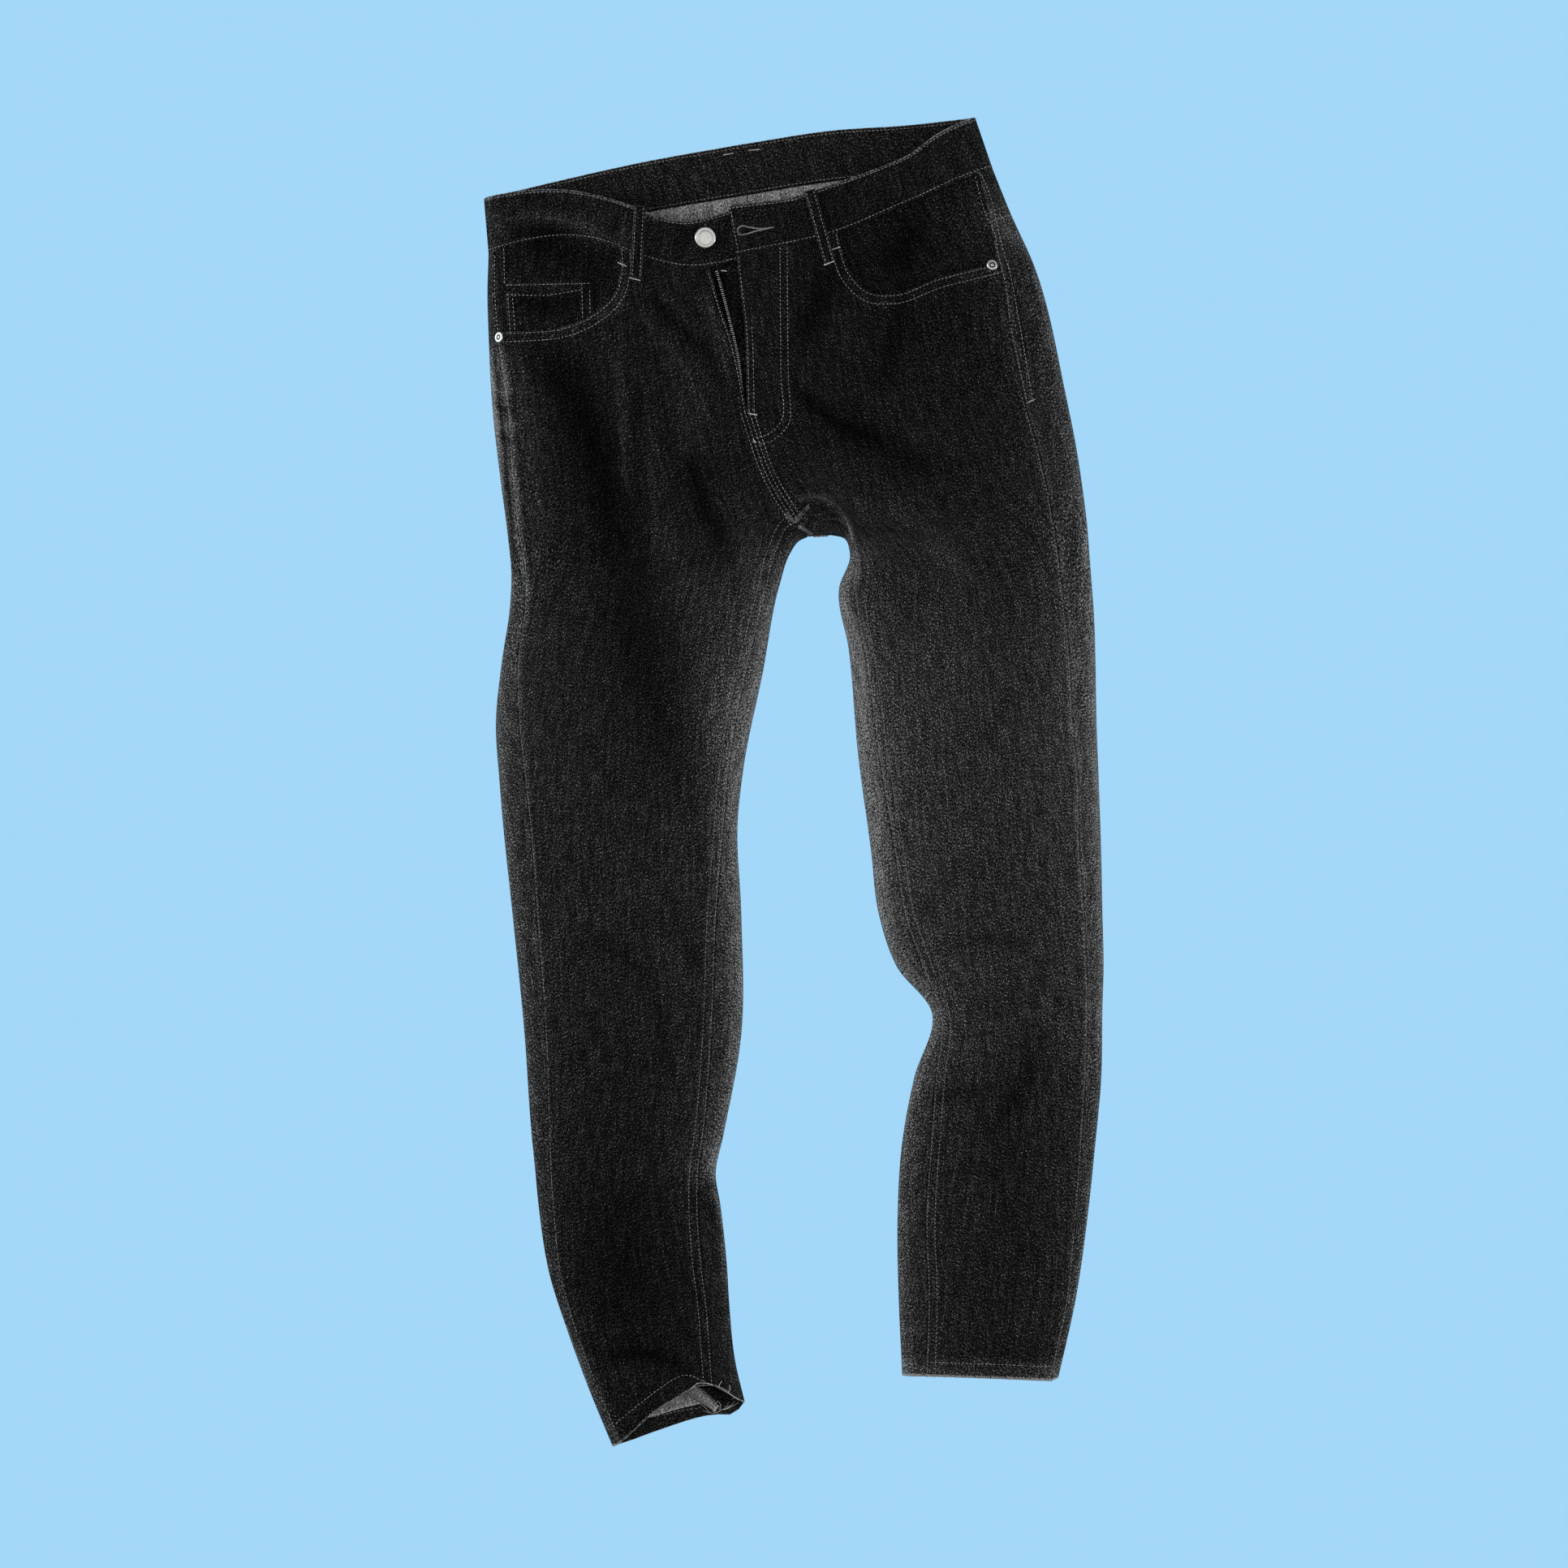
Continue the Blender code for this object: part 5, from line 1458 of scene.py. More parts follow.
    def back_grid(self, half: Half) -> tuple[np.ndarray, np.ndarray]:
        """Points and plan of the back's grid, from the side seam under to the inseam."""
        pattern = self.lie.pattern
        lines = pattern.lines[half]
        front = pattern.front_plan(half, np.array([0.0, 1.0]))
        waist_line, first, last = pattern.waist_places(half, front=False)
        hem = HEM_RIGHT_BACK if half is Half.RIGHT else None
        near = np.array(self.near)
        outer_shares = 1.0 - (1.0 - np.linspace(0, 1, self.outer_wrap + 1)[:-1]) ** 2
        inner_shares = np.linspace(0, 1, self.inner_wrap + 1)[1:] ** 1.7
        rows = []
        for i, place in enumerate(pattern.rows[half]):
            edge, inner = lines["edge"].at(place), lines["back"].at(place)
            legs = place >= CROTCH_ROW
            width = np.hypot(*(inner - edge))
            far = near * (1.0 if legs else self.seat_spread)
            middle = np.linspace(near[-1], width - far[-1], self.middle_columns + 2)[1:-1]
            shares = np.concatenate([near, middle, width - far[::-1]]) / width
            waist = np.array([waist_line.at(first + (last - first) * u) for u in shares])
            waist_fade, hem_fade = pattern.fades(place, half)
            under = straight_row(edge, inner, shares) + waist_fade * bow(waist, shares)
            under = under + hem_fade * pattern.hem_bow(hem, shares)
            outer = straight_row(front[i, 0], edge, outer_shares)
            wrap = straight_row(inner, front[i, 1], inner_shares)
            if not legs:
                wrap = np.full_like(wrap, np.nan)
            rows.append(np.vstack([outer, under, wrap]))
        plan = pattern.tucked(np.array(rows))
        heights = np.full(plan.shape[:2], np.nan)
        faces = (
            (slice(0, self.outer_wrap), Face.TOP),
            (slice(self.outer_wrap, plan.shape[1] - self.inner_wrap), Face.UNDER),
            (slice(plan.shape[1] - self.inner_wrap, None), Face.TOP),
        )
        for columns, face in faces:
            part = plan[:, columns]
            present = ~np.isnan(part[..., 0])
            found = np.full(part.shape[:2], np.nan)
            found[present] = self.lie.heights(part[present], face)
            heights[:, columns] = found
        return np.dstack([plan, heights]), plan


@dataclass
class Waist:
    """The waistband and the belt loops on its front."""

    lie: Lie
    tone: Tone
    wardrobe: Wardrobe
    band_rows: int = 17
    # Shares of a stretch where its columns stand beside the fold, and how many stand past them
    near: tuple[float, ...] = (0.0, 0.004, 0.012, 0.025, 0.045, 0.07)
    columns: int = 72
    # How much higher the band's front lies than the legs
    band_rise: float = 0.7
    loop_width: float = 10.0
    # How high a loop's ends and its middle stand off the band, and how high its crown is
    loop_lift: float = 0.8
    loop_bow: float = 1.2
    loop_crown: float = 1.6
    # By how many stops paler the band, its end and the loops are drawn at their edges, for wear and a painted
    # highlight
    band_wear_and_highlight: float = 1.0
    end_wear_and_highlight: float = 5.0
    loop_wear_and_highlight: float = 3.5
    # The middle of each front loop's top and foot
    loops: dict[str, tuple[Point, Point]] = field(default_factory=lambda: {
        "belt_loop_front_right": ((-129, 483), (-132, 422)),
        "belt_loop_front_left": ((13, 496), (30, 435)),
    })

    def build(self) -> None:
        self._band()
        for name in self.loops:
            self._loop(name)

    def _stretch(self, half: Half, face: Face) -> np.ndarray:
        """Grid columns of one stretch of the band, from the folded side outwards."""
        front = face is not Face.UNDER
        top, bottom = self.lie.pattern.bands[half, front]
        stations = len(top.points) - 1
        far = np.linspace(self.near[-1], 1.0, self.columns)[1:]
        places = np.concatenate([self.near, far]) * stations
        shares = np.linspace(0, 1, self.band_rows)
        plan = np.array([straight_row(bottom.at(p), top.at(p), shares) for p in places])
        points = self.lie.raised(plan, face)
        if front:
            # The rise is complete a sixth of the way along
            away = smooth_step(np.linspace(0, 6, len(places)))[:, None]
            points[..., 2] += self.band_rise * away
        return points

    def _band(self) -> None:
        """One strip from the button end round the back to the buttonhole end."""
        parts = [
            self._stretch(Half.RIGHT, Face.TOP)[::-1],
            self._stretch(Half.RIGHT, Face.UNDER)[1:],
            self._stretch(Half.LEFT, Face.UNDER)[::-1][1:],
            self._stretch(Half.LEFT, Face.LAPPED)[1:],
        ]
        points = np.concatenate(parts)
        tone = self.tone.grid(points[..., :2])
        wear_and_highlight = np.full(points.shape[:2], self.band_wear_and_highlight)
        wear_and_highlight[:, -1] = self.end_wear_and_highlight
        piece = ClothPiece("waistband_cloth", self.wardrobe, wall=2.4, inner_tone=2.0)
        made = piece.build(points.transpose(1, 0, 2), (0, 0, 1), tone.T, wear_and_highlight.T)
        made.data.materials[1] = self.wardrobe.denim
        declare(made, ("waistband",))

    def loop_grid(self, name: str, shares: np.ndarray) -> tuple[np.ndarray, np.ndarray]:
        """Points of a loop's outer side at shares of its half width, and the cloth's normals under it."""
        top, bottom = (np.array(end, float) for end in self.loops[name])
        across = np.array([bottom[1] - top[1], top[0] - bottom[0]])
        across /= np.hypot(*across)
        stops = np.linspace(0, 1, 41)
        plan = np.array([
            [top + (bottom - top) * v + across * u * self.loop_width / 2 for u in shares] for v in stops
        ])
        face = Face.LAPPED if name.endswith("left") else Face.TOP
        centre, normals = self.lie.on_skin(straight_row(top, bottom, stops), face)
        lift = self.band_rise + self.loop_lift + self.loop_bow * np.sin(np.pi * stops) ** 0.8
        ends = smooth_step(np.minimum(stops, 1 - stops) / 0.07)
        crown = self.loop_crown * (1.0 - np.abs(shares) ** 4)[None, :] * (0.35 + 0.65 * ends[:, None])
        height = centre[:, 2:3] + (lift[:, None] + crown) * normals[:, 2:3]
        return np.dstack([plan, height]), normals

    def _loop(self, name: str) -> None:
        """A belt loop, folded from a strip, bowed off the band between its sewn ends."""
        shares = np.linspace(-1, 1, 13)
        points, _ = self.loop_grid(name, shares)
        # Paler towards the loop's folded sides: partly wear, partly a painted highlight
        tone = np.full(points.shape[:2], 1.1) + 2.0 * np.abs(shares)[None, :] ** 8
        made = ClothPiece(name + "_cloth", self.wardrobe, wall=1.2).build(
            points, (0, 0, 1), tone, np.full(points.shape[:2], self.loop_wear_and_highlight)
        )
        declare(made, (name,))


@dataclass
class Pockets:
    """What shows inside the front pocket mouths: the facings and the coin pocket."""

    lie: Lie
    tone: Tone
    wardrobe: Wardrobe
    # How far the facings lie under the front, and their tone in the pocket's shade
    depth: float = 2.2
    shade: float = 0.92
    # The last row of the front's pattern that a facing reaches, and its share of the front's width
    facing_rows: float = 2.55
    facing_share: float = 0.74
    # How much paler the coin pocket's top edge is drawn, for wear and a painted highlight
    top_wear_and_highlight: float = 2.5
    coin_top: tuple[Point, Point] = ((-242, 417.5), (-168, 419))
    coin_bottom: tuple[Point, Point] = ((-240, 381), (-168, 396.5))

    def build(self) -> None:
        """Makes and declares both facings and the coin pocket."""
        for half in Half:
            self._facing(half)
        self._coin_pocket()

    def _facing(self, half: Half) -> None:
        """A facing that lies just under the front, from its own points."""
        pattern = self.lie.pattern
        plan = pattern.tucked(pattern.front_plan(half, np.linspace(0, self.facing_share, 52)))
        rows = int(np.sum(np.array(pattern.rows[half]) <= self.facing_rows))
        plan = plan[:rows]
        tone = self.shade * self.tone.grid(plan)
        name = "pocket_facing_" + half.value
        made = ClothPiece(name + "_cloth", self.wardrobe).build(
            self.lie.raised(plan, half.face), (0, 0, 1), tone, np.ones(plan.shape[:2]), depth=self.depth
        )
        declare(made, (name,))

    def _coin_pocket(self) -> None:
        """The small pocket on the right facing, as far down as it shows."""
        shares = np.linspace(0, 1, 47)
        left = straight_row(self.coin_top[0], self.coin_bottom[0], np.linspace(0, 1, 27))
        right = straight_row(self.coin_top[1], self.coin_bottom[1], np.linspace(0, 1, 27))
        plan = np.array([straight_row(a, b, shares) for a, b in zip(left, right)])
        tone = self.shade * self.tone.grid(plan)
        wear_and_highlight = np.ones(plan.shape[:2])
        wear_and_highlight[0] = self.top_wear_and_highlight
        made = ClothPiece("coin_pocket_cloth", self.wardrobe, wall=1.0).build(
            self.lie.raised(plan, Face.TOP), (0, 0, 1), tone, wear_and_highlight, depth=1.0
        )
        declare(made, ("coin_pocket",))


@dataclass
class HemMouth:
    """What shows inside the open corner of the right hem: a seam allowance, and a flap of the hem."""

    lie: Lie
    wardrobe: Wardrobe
    # The strips' wall in millimetres, how much paler they are and how much paler their edges are drawn, for
    # wear and a painted highlight
    wall: float = 0.9
    tone: float = 1.5
    wear_and_highlight: float = 3.0
    # Both long edges of each strip
    allowance: tuple[tuple[Point, ...], tuple[Point, ...]] = (
        ((-92.5, -512), (-79.5, -520.5), (-66, -529)),
        ((-83, -506), (-74, -514), (-62.5, -523.5)),
    )
    flap: tuple[tuple[Point, ...], tuple[Point, ...]] = (
        ((-82, -503.5), (-73, -503.5), (-61, -508.5), (-50, -515.5)),
        ((-80, -507.5), (-73.5, -513), (-66, -519.5), (-57.5, -525.4)),
    )
    allowance_rise: float = 1.6
    flap_rise: float = 3.4

    def build(self) -> None:
        """Makes both, the allowance with its pale side up."""
        self._patch("seam_allowance", self.allowance, self.allowance_rise, -1)
        self._patch("hem_flap", self.flap, self.flap_rise, 1)

    def _patch(self, name: str, edges: tuple[tuple[Point, ...], tuple[Point, ...]], rise: float,
               facing: int) -> None:
        """A strip of cloth between two edges, a little above the back's inner side."""
        stations = np.linspace(0, 1, 16)
        first, last = (Course(edge) for edge in edges)
        long = [[line.at(u * (len(line.points) - 1)) for u in stations] for line in (first, last)]
        shares = np.linspace(0, 1, 8)
        plan = np.array([straight_row(np.array(a), np.array(b), shares) for a, b in zip(*long)])
        points = self.lie.raised(plan, Face.UNDER)
        points[..., 2] += rise
        full = np.ones(plan.shape[:2])
        made = ClothPiece(name, self.wardrobe, self.wall).build(
            points, (0, 0, facing), self.tone * full, self.wear_and_highlight * full
        )
        declare(made, ())


@dataclass(frozen=True)
class Row:
    """One row of sewing: a line in plan, the skin it lies on and how far it stands off it."""

    line: np.ndarray
    face: Face = Face.TOP
    lift: float = 0.0


@dataclass(frozen=True)
class Sewing:
    """A kind of sewing: how its threads lie, their pitch and their size in millimetres."""

    lay: Lay
    pitch: float
    length: float
    width: float
    height: float
    seed: int = 7


TOPSTITCH = Sewing(Lay.ALONG, pitch=3.3, length=2.5, width=0.62, height=0.5)
BAR_TACK = Sewing(Lay.ACROSS, pitch=0.55, length=1.3, width=0.6, height=0.7)
LADDER = Sewing(Lay.ACROSS, pitch=1.5, length=4.4, width=0.5, height=0.4)
FRAY = Sewing(Lay.ALONG, pitch=0.9, length=1.5, width=0.5, height=0.5)
SATIN = Sewing(Lay.ACROSS, pitch=0.62, length=1.5, width=0.5, height=0.6)
ZIP_TEETH = Sewing(Lay.ACROSS, pitch=1.75, length=3.0, width=1.0, height=1.1)


class ThreadTree:
    """Geometry Nodes that set threads, or zip teeth, along rows drawn on the cloth."""

    inputs = (
        ("Pitch", "NodeSocketFloat"),
        ("Length", "NodeSocketFloat"),
        ("Width", "NodeSocketFloat"),
        ("Height", "NodeSocketFloat"),
        ("Seed", "NodeSocketInt"),
        ("Across", "NodeSocketBool"),
        ("Material", "NodeSocketMaterial"),
    )
    # How far a thread turns off its row at most, in radians, and the least and the largest of them
    twist = 0.09
    sizes = (0.84, 1.08)

    def __init__(self) -> None:
        """Builds the tree once for every kind of sewing."""
        self.tree = bpy.data.node_groups.new("threads_along_rows", "GeometryNodeTree")
        face = self.tree.interface
        face.new_socket("Rows", in_out="INPUT", socket_type="NodeSocketGeometry")
        self.ids = {}
        for name, kind in self.inputs:
            self.ids[name] = face.new_socket(name, in_out="INPUT", socket_type=kind).identifier
        face.new_socket("Threads", in_out="OUTPUT", socket_type="NodeSocketGeometry")
        self._build()

    def _build(self) -> None:
        """Adds the nodes: resample the rows, turn a thread to each place, and set it there."""
        tree = self.tree
        given = add_node(tree, "NodeGroupInput").outputs
        line = add_node(tree, "GeometryNodeMeshToCurve", {"Mesh": given["Rows"]})
        even = add_node(
            tree, "GeometryNodeResampleCurve", {0: line.outputs[0], 3: given["Pitch"]}, mode="LENGTH"
        )
        up = add_node(
            tree, "GeometryNodeInputNamedAttribute", {"Name": "up"}, data_type="FLOAT_VECTOR"
        ).outputs[0]
        ahead = add_node(tree, "GeometryNodeInputTangent").outputs[0]
        aside = add_node(
            tree, "ShaderNodeVectorMath", {0: up, 1: ahead}, operation="CROSS_PRODUCT"
        ).outputs[0]
        run = add_node(
            tree, "GeometryNodeSwitch", {0: given["Across"], 1: ahead, 2: aside}, input_type="VECTOR"
        ).outputs[0]
        upright = add_node(
            tree, "FunctionNodeAlignRotationToVector", {"Factor": 1.0, "Vector": up}, axis="Z"
        )
        turned = add_node(
            tree, "FunctionNodeAlignRotationToVector",
            {"Rotation": upright.outputs[0], "Factor": 1.0, "Vector": run}, axis="X", pivot_axis="Z",
        )
        twist = add_node(
            tree, "FunctionNodeRandomValue",
            {2: -self.twist, 3: self.twist, "Seed": given["Seed"]}, data_type="FLOAT",
        )
        lean = add_node(tree, "ShaderNodeCombineXYZ", {2: twist.outputs[1]})
        euler = add_node(tree, "FunctionNodeEulerToRotation", {0: lean.outputs[0]})
        uneven = add_node(
            tree, "FunctionNodeRotateRotation",
            {"Rotation": turned.outputs[0], "Rotate By": euler.outputs[0]}, rotation_space="LOCAL",
        )
        size = add_node(
            tree, "FunctionNodeRandomValue",
            {2: self.sizes[0], 3: self.sizes[1], "Seed": given["Seed"]}, data_type="FLOAT",
        )
        bead = add_node(
            tree, "GeometryNodeMeshUVSphere", {"Segments": 6, "Rings": 5, "Radius": 0.5}
        )
        form = add_node(
            tree, "ShaderNodeCombineXYZ", {0: given["Length"], 1: given["Width"], 2: given["Height"]}
        )
        thread = add_node(
            tree, "GeometryNodeTransform", {"Geometry": bead.outputs[0], "Scale": form.outputs[0]}
        )
        spread = add_node(
            tree, "GeometryNodeInstanceOnPoints",
            {"Points": even.outputs[0], "Instance": thread.outputs[0], "Rotation": uneven.outputs[0],
             "Scale": size.outputs[1]},
        )
        real = add_node(tree, "GeometryNodeRealizeInstances", {"Geometry": spread.outputs[0]})
        painted = add_node(
            tree, "GeometryNodeSetMaterial", {"Geometry": real.outputs[0], "Material": given["Material"]}
        )
        smooth = add_node(tree, "GeometryNodeSetShadeSmooth", {0: painted.outputs[0]})
        add_node(tree, "NodeGroupOutput", {0: smooth.outputs[0]})

    def sew(
        self, name: str, points: list[np.ndarray], ups: list[np.ndarray], kind: Sewing,
        material: bpy.types.Material,
    ) -> bpy.types.Object:
        """Sets threads along several lines and returns them as one plain mesh.

        Args:
            name: the piece's name.
            points: each line's points, in millimetres.
            ups: the cloth's normals at those points.
            kind: the kind of sewing.
            material: the thread's finish.

        Returns:
            The finished threads.
        """
        edges, first = [], 0
        for line in points:
            edges += [(first + k, first + k + 1) for k in range(len(line) - 1)]
            first += len(line)
        rows = bpy.data.meshes.new(name + "_rows")
        rows.from_pydata([tuple(p) for p in np.vstack(points) * MM], edges, [])
        attribute = rows.attributes.new("up", "FLOAT_VECTOR", "POINT")
        attribute.data.foreach_set("vector", np.vstack(ups).astype(np.float32).ravel())
        guide = place(name + "_guide", rows)
        modifier = guide.modifiers.new("threads", "NODES")
        modifier.node_group = self.tree
        values = {
            "Pitch": kind.pitch * MM,
            "Length": kind.length * MM,
            "Width": kind.width * MM,
            "Height": kind.height * MM,
            "Seed": kind.seed,
            "Across": kind.lay is Lay.ACROSS,
            "Material": material,
        }
        for key, value in values.items():
            modifier[self.ids[key]] = value
        evaluated = guide.evaluated_get(bpy.context.evaluated_depsgraph_get())
        mesh = bpy.data.meshes.new_from_object(evaluated)
        mesh.name = name
        if not mesh.materials:
            mesh.materials.append(material)
        bpy.data.objects.remove(guide)
        bpy.data.meshes.remove(rows)
        return place(name, mesh)


@dataclass
class Sewer:
    """Every row of top-stitching, bar tack and worked edge that shows."""

    lie: Lie
    wardrobe: Wardrobe
    waist: Waist
    tree: ThreadTree
    # How far threads stand off the cloth, in millimetres
    thread_lift: float = 0.12
    fray_lift: float = 0.2
    # How deep the rows inside the hem, those inside the band and the zip's teeth lie under the skin
    hem_lift: float = -4.2
    flap_lift: float = -5.8
    fray_inner_lift: float = -3.4
    inner_lift: float = -2.5
    zip_depth: float = 0.6
    # How far a row lies from its seam, and how far both rows lie from a pocket mouth
    seam_gap: float = 1.7
    mouth_rows: tuple[float, ...] = (1.7, 8.4)
    # How far each row lies from the inseam, and the y above which the left one is hidden
    inseam_rows: tuple[tuple[float, float], ...] = ((1.7, 182.0), (8.3, 160.0))
    # Shares of the waistband's depth where its rows run
    band_shares: tuple[float, ...] = (0.06, 0.94)
    # The rows down the left side seam, and across its yoke
    side_rows: tuple[tuple[Point, ...], ...] = (
        ((152, 506), (161, 475), (168, 460), (171.5, 441), (178, 414), (181, 387), (188, 352), (194.5, 322)),
        ((158, 507), (164.5, 490), (173.5, 452), (181, 426), (187, 395), (192.5, 364), (199.5, 322)),
        ((162.5, 476), (170, 479.5), (178, 482.5)),
        ((165.5, 469.2), (173, 472.5), (181, 475)),
    )
    hem_row_right: tuple[Point, ...] = (
        (-155, -542), (-138, -527.7), (-124.4, -516.8), (-110.8, -506.6), (-100, -499.8), (-91.8, -496.6),
        (-85, -497.4), (-78.2, -500.5), (-71, -503.4),
    )
    frayed_edge: tuple[tuple[Point, ...], ...] = (
        ((-81, -503.2), (-77, -503.0), (-72, -503.4), (-68, -504.6)),
        ((-67, -503.2), (-62, -506.4), (-57, -509), (-53, -512.4), (-47, -517)),
        ((-63, -506.5), (-61.8, -503.5), (-60.5, -501.8)),
        ((-55, -511), (-53.5, -508), (-53.8, -505.5)),
        ((-86, -507.5), (-83, -505), (-80, -503.4)),
    )
    frayed_inside: tuple[tuple[Point, ...], ...] = (
        ((-76, -527.5), (-70, -529.4), (-65.5, -529.5), (-60, -526.5), (-56, -525.8), (-50.5, -523)),
        ((-80, -521), (-76, -523.5), (-71, -528.5)),
        ((-68, -522), (-66, -525), (-67.5, -528)),
        ((-58, -526.5), (-52, -523.5), (-45, -520.5)),
        ((-64, -519.5), (-61.5, -522.5), (-62, -526)),
        ((-50, -520), (-53, -523), (-57.5, -524.5)),
    )

    def build(self) -> None:
        sets = {
            "stitching_legs": (self._legs(), TOPSTITCH, self.wardrobe.dim_thread),
            "stitching_hems": (self._hems(), TOPSTITCH, self.wardrobe.grey_thread),
            "frayed_threads": (self._frays(), FRAY, self.wardrobe.bright_thread),
            "stitching_pockets": (self._pockets(), TOPSTITCH, self.wardrobe.grey_thread),
            "stitching_waist": (self._waist(), TOPSTITCH, self.wardrobe.grey_thread),
            "stitching_fly": (self._fly(), TOPSTITCH, self.wardrobe.grey_thread),
            "bar_tacks": (self._tacks(), BAR_TACK, self.wardrobe.bright_thread),
            "crotch_tacks": (self._crotch_tacks(), LADDER, self.wardrobe.grey_thread),
            "buttonhole": (self._buttonhole(), SATIN, self.wardrobe.grey_thread),
        }
        for name, (rows, kind, material) in sets.items():
            self._sew(name, rows, kind, material)
        self._loops()
        self._zip()

    def _sew(self, name: str, rows: list[Row], kind: Sewing, material: bpy.types.Material) -> None:
        """Lays rows on the cloth and sews them."""
        points, ups = [], []
        for row in rows:
            on, normals = self.lie.on_skin(row.line, row.face)
            points.append(on + normals * (self.thread_lift + row.lift))
            ups.append(normals)
        made = self.tree.sew(name, points, ups, kind, material)
        declare(made, ())

    def _legs(self) -> list[Row]:
        """Two rows down each inseam, and one down each side seam."""
        pattern = self.lie.pattern
        rows = []
        for half in (Half.RIGHT, Half.LEFT):
            seam = pattern.border(half, True)[pattern.crotch_index(half):]
            for gap, hidden_y in self.inseam_rows:
                row = offset_line(seam, half.side * gap)
                if half is Half.LEFT:
                    row = row[row[:, 1] < hidden_y]
                rows.append(Row(row[::2], Face.TOP))
            low = pattern.border(half, False)[pattern.fly_index(half):]
            rows.append(Row(offset_line(low, -half.side * self.seam_gap)[::3], Face.TOP))
        return rows

    def _hems(self) -> list[Row]:
        """The row above each hem, and those on the band and the flap inside the right one."""
        left = self.lie.pattern.hem_line(Half.LEFT)
        band = Course(((-117, -532.5), (-97, -528), (-79, -525)))
        flap = Course(((-75.5, -510), (-69, -517), (-63, -523.6)))
        return [
            Row(offset_line(left, -12.0)[1:-1], Face.TOP),
            Row(Course(self.hem_row_right).line(2.0), Face.TOP),
            Row(band.line(2.0), Face.UNDER, self.hem_lift),
            Row(flap.line(2.0), Face.UNDER, self.flap_lift),
        ]

    def _frays(self) -> list[Row]:
        """Worn and loose threads along the hem's open corner on the right."""
        rows = [Row(Course(line).line(0.9), Face.TOP, self.fray_lift) for line in self.frayed_edge]
        rows += [Row(Course(line).line(0.9), Face.UNDER, self.fray_inner_lift) for line in self.frayed_inside]
        return rows

    def _pockets(self) -> list[Row]:
        """Two rows round each pocket mouth, the coin pocket's and those of the side seams."""
        pattern = self.lie.pattern
        rows = []
        for half in (Half.RIGHT, Half.LEFT):
            mouth = pattern.mouth(half)
            seam = pattern.border(half, False)
            seam_gap = line_distance(mouth, seam)[0] * -half.side
            band = pattern.bands[half, True][1].line(2.0)
            band_gap = np.abs(line_distance(mouth, band)[0])
            shown = mouth[(seam_gap > 1.0) & (band_gap > 1.0) & (self._below(mouth, band))]
            for gap in self.mouth_rows:
                rows.append(Row(offset_line(shown, -half.side * gap), half.face))
            if half is Half.RIGHT:
                outer = seam[2:pattern.fly_index(half)]
                rows.append(Row(offset_line(outer, self.seam_gap)[::2], Face.TOP))
        rows += [Row(Course(line).line(2.0), Face.TOP, 0.2) for line in self.side_rows]
        rows += self._coin_rows()
        return rows

    @staticmethod
    def _below(points: np.ndarray, band: np.ndarray) -> np.ndarray:
        """Which points lie on the legs' side of the waistband's lower edge."""
        order = np.argsort(band[:, 0])
        edge = np.interp(points[:, 0], band[order, 0], band[order, 1])
        return points[:, 1] < edge

    @staticmethod
    def _coin_rows() -> list[Row]:
        """Two rows under the coin pocket's top, two down each side, and one on the facing."""
        top = Course(((-240, 408.3), (-207, 408), (-179, 412.2))).line(2.0)
        ends = (
            ((-177.5, 417), (-177.0, 390)), ((-171.0, 411), (-170.5, 394)),
            ((-239.4, 408), (-237.6, 380)), ((-235.6, 408), (-233.6, 380)),
        )
        sides = [straight_row(start, end, np.linspace(0, 1, 16)) for start, end in ends]
        fold = straight_row((-240, 416.2), (-172, 417.8), np.linspace(0, 1, 36))
        facing = straight_row((-242.8, 446), (-242.2, 419), np.linspace(0, 1, 16))
        return [Row(line, Face.TOP, -0.9) for line in (top, fold, *sides)] + [Row(facing, Face.TOP, -2.0)]

    def _waist(self) -> list[Row]:
        """Rows along both edges of the waistband, its ends and the belt loops."""
        rows = []
        for (half, front), (top, bottom) in self.lie.pattern.bands.items():
            face, lift = (half.face, self.waist.band_rise) if front else (Face.UNDER, self.inner_lift)
            stations = len(top.points) - 1
            places = np.linspace(0.03, stations - 0.03, 130)
            high = np.array([top.at(p) for p in places])
            low = np.array([bottom.at(p) for p in places])
            rows += [Row(low + (high - low) * share, face, lift) for share in self.band_shares]
        end = straight_row((-53, 480), (-46.5, 444), np.linspace(0, 1, 24))
        rows.append(Row(end, Face.LAPPED, self.waist.band_rise))
        return rows

    def _fly(self) -> list[Row]:
        """The fly's edge rows, the double J that ends it and the rows down the centre seam."""
        pattern = self.lie.pattern
        left = pattern.border(Half.LEFT, True)[2:pattern.fly_index(Half.LEFT)]
        right = pattern.border(Half.RIGHT, True)[4:pattern.fly_index(Half.RIGHT)]
        inner = Course(((-11.5, 447), (-11, 373), (-10, 329), (-8.5, 315), (-9.5, 305), (-15, 296.5),
                        (-22.5, 291), (-31, 289))).line(1.6)
        outer = Course(((-5.5, 447), (-5, 373), (-4, 329), (-2.8, 315), (-4, 301), (-9.5, 293),
                        (-17, 287), (-26.5, 284), (-34, 285))).line(1.6)
        centres = []
        for half, gaps in ((Half.RIGHT, (-1.9, -5.4)), (Half.LEFT, (1.7, 5.2))):
            centre = pattern.centre_seam(half)
            centres += [Row(offset_line(centre, gap)[:-1], Face.TOP) for gap in gaps]
        return centres + [
            Row(offset_line(left, self.seam_gap), Face.LAPPED),
            Row(offset_line(left, 6.0)[len(left) // 2:], Face.LAPPED),
            Row(offset_line(right, -1.8), Face.TOP),
            Row(inner, Face.LAPPED),
            Row(outer, Face.LAPPED),
        ]

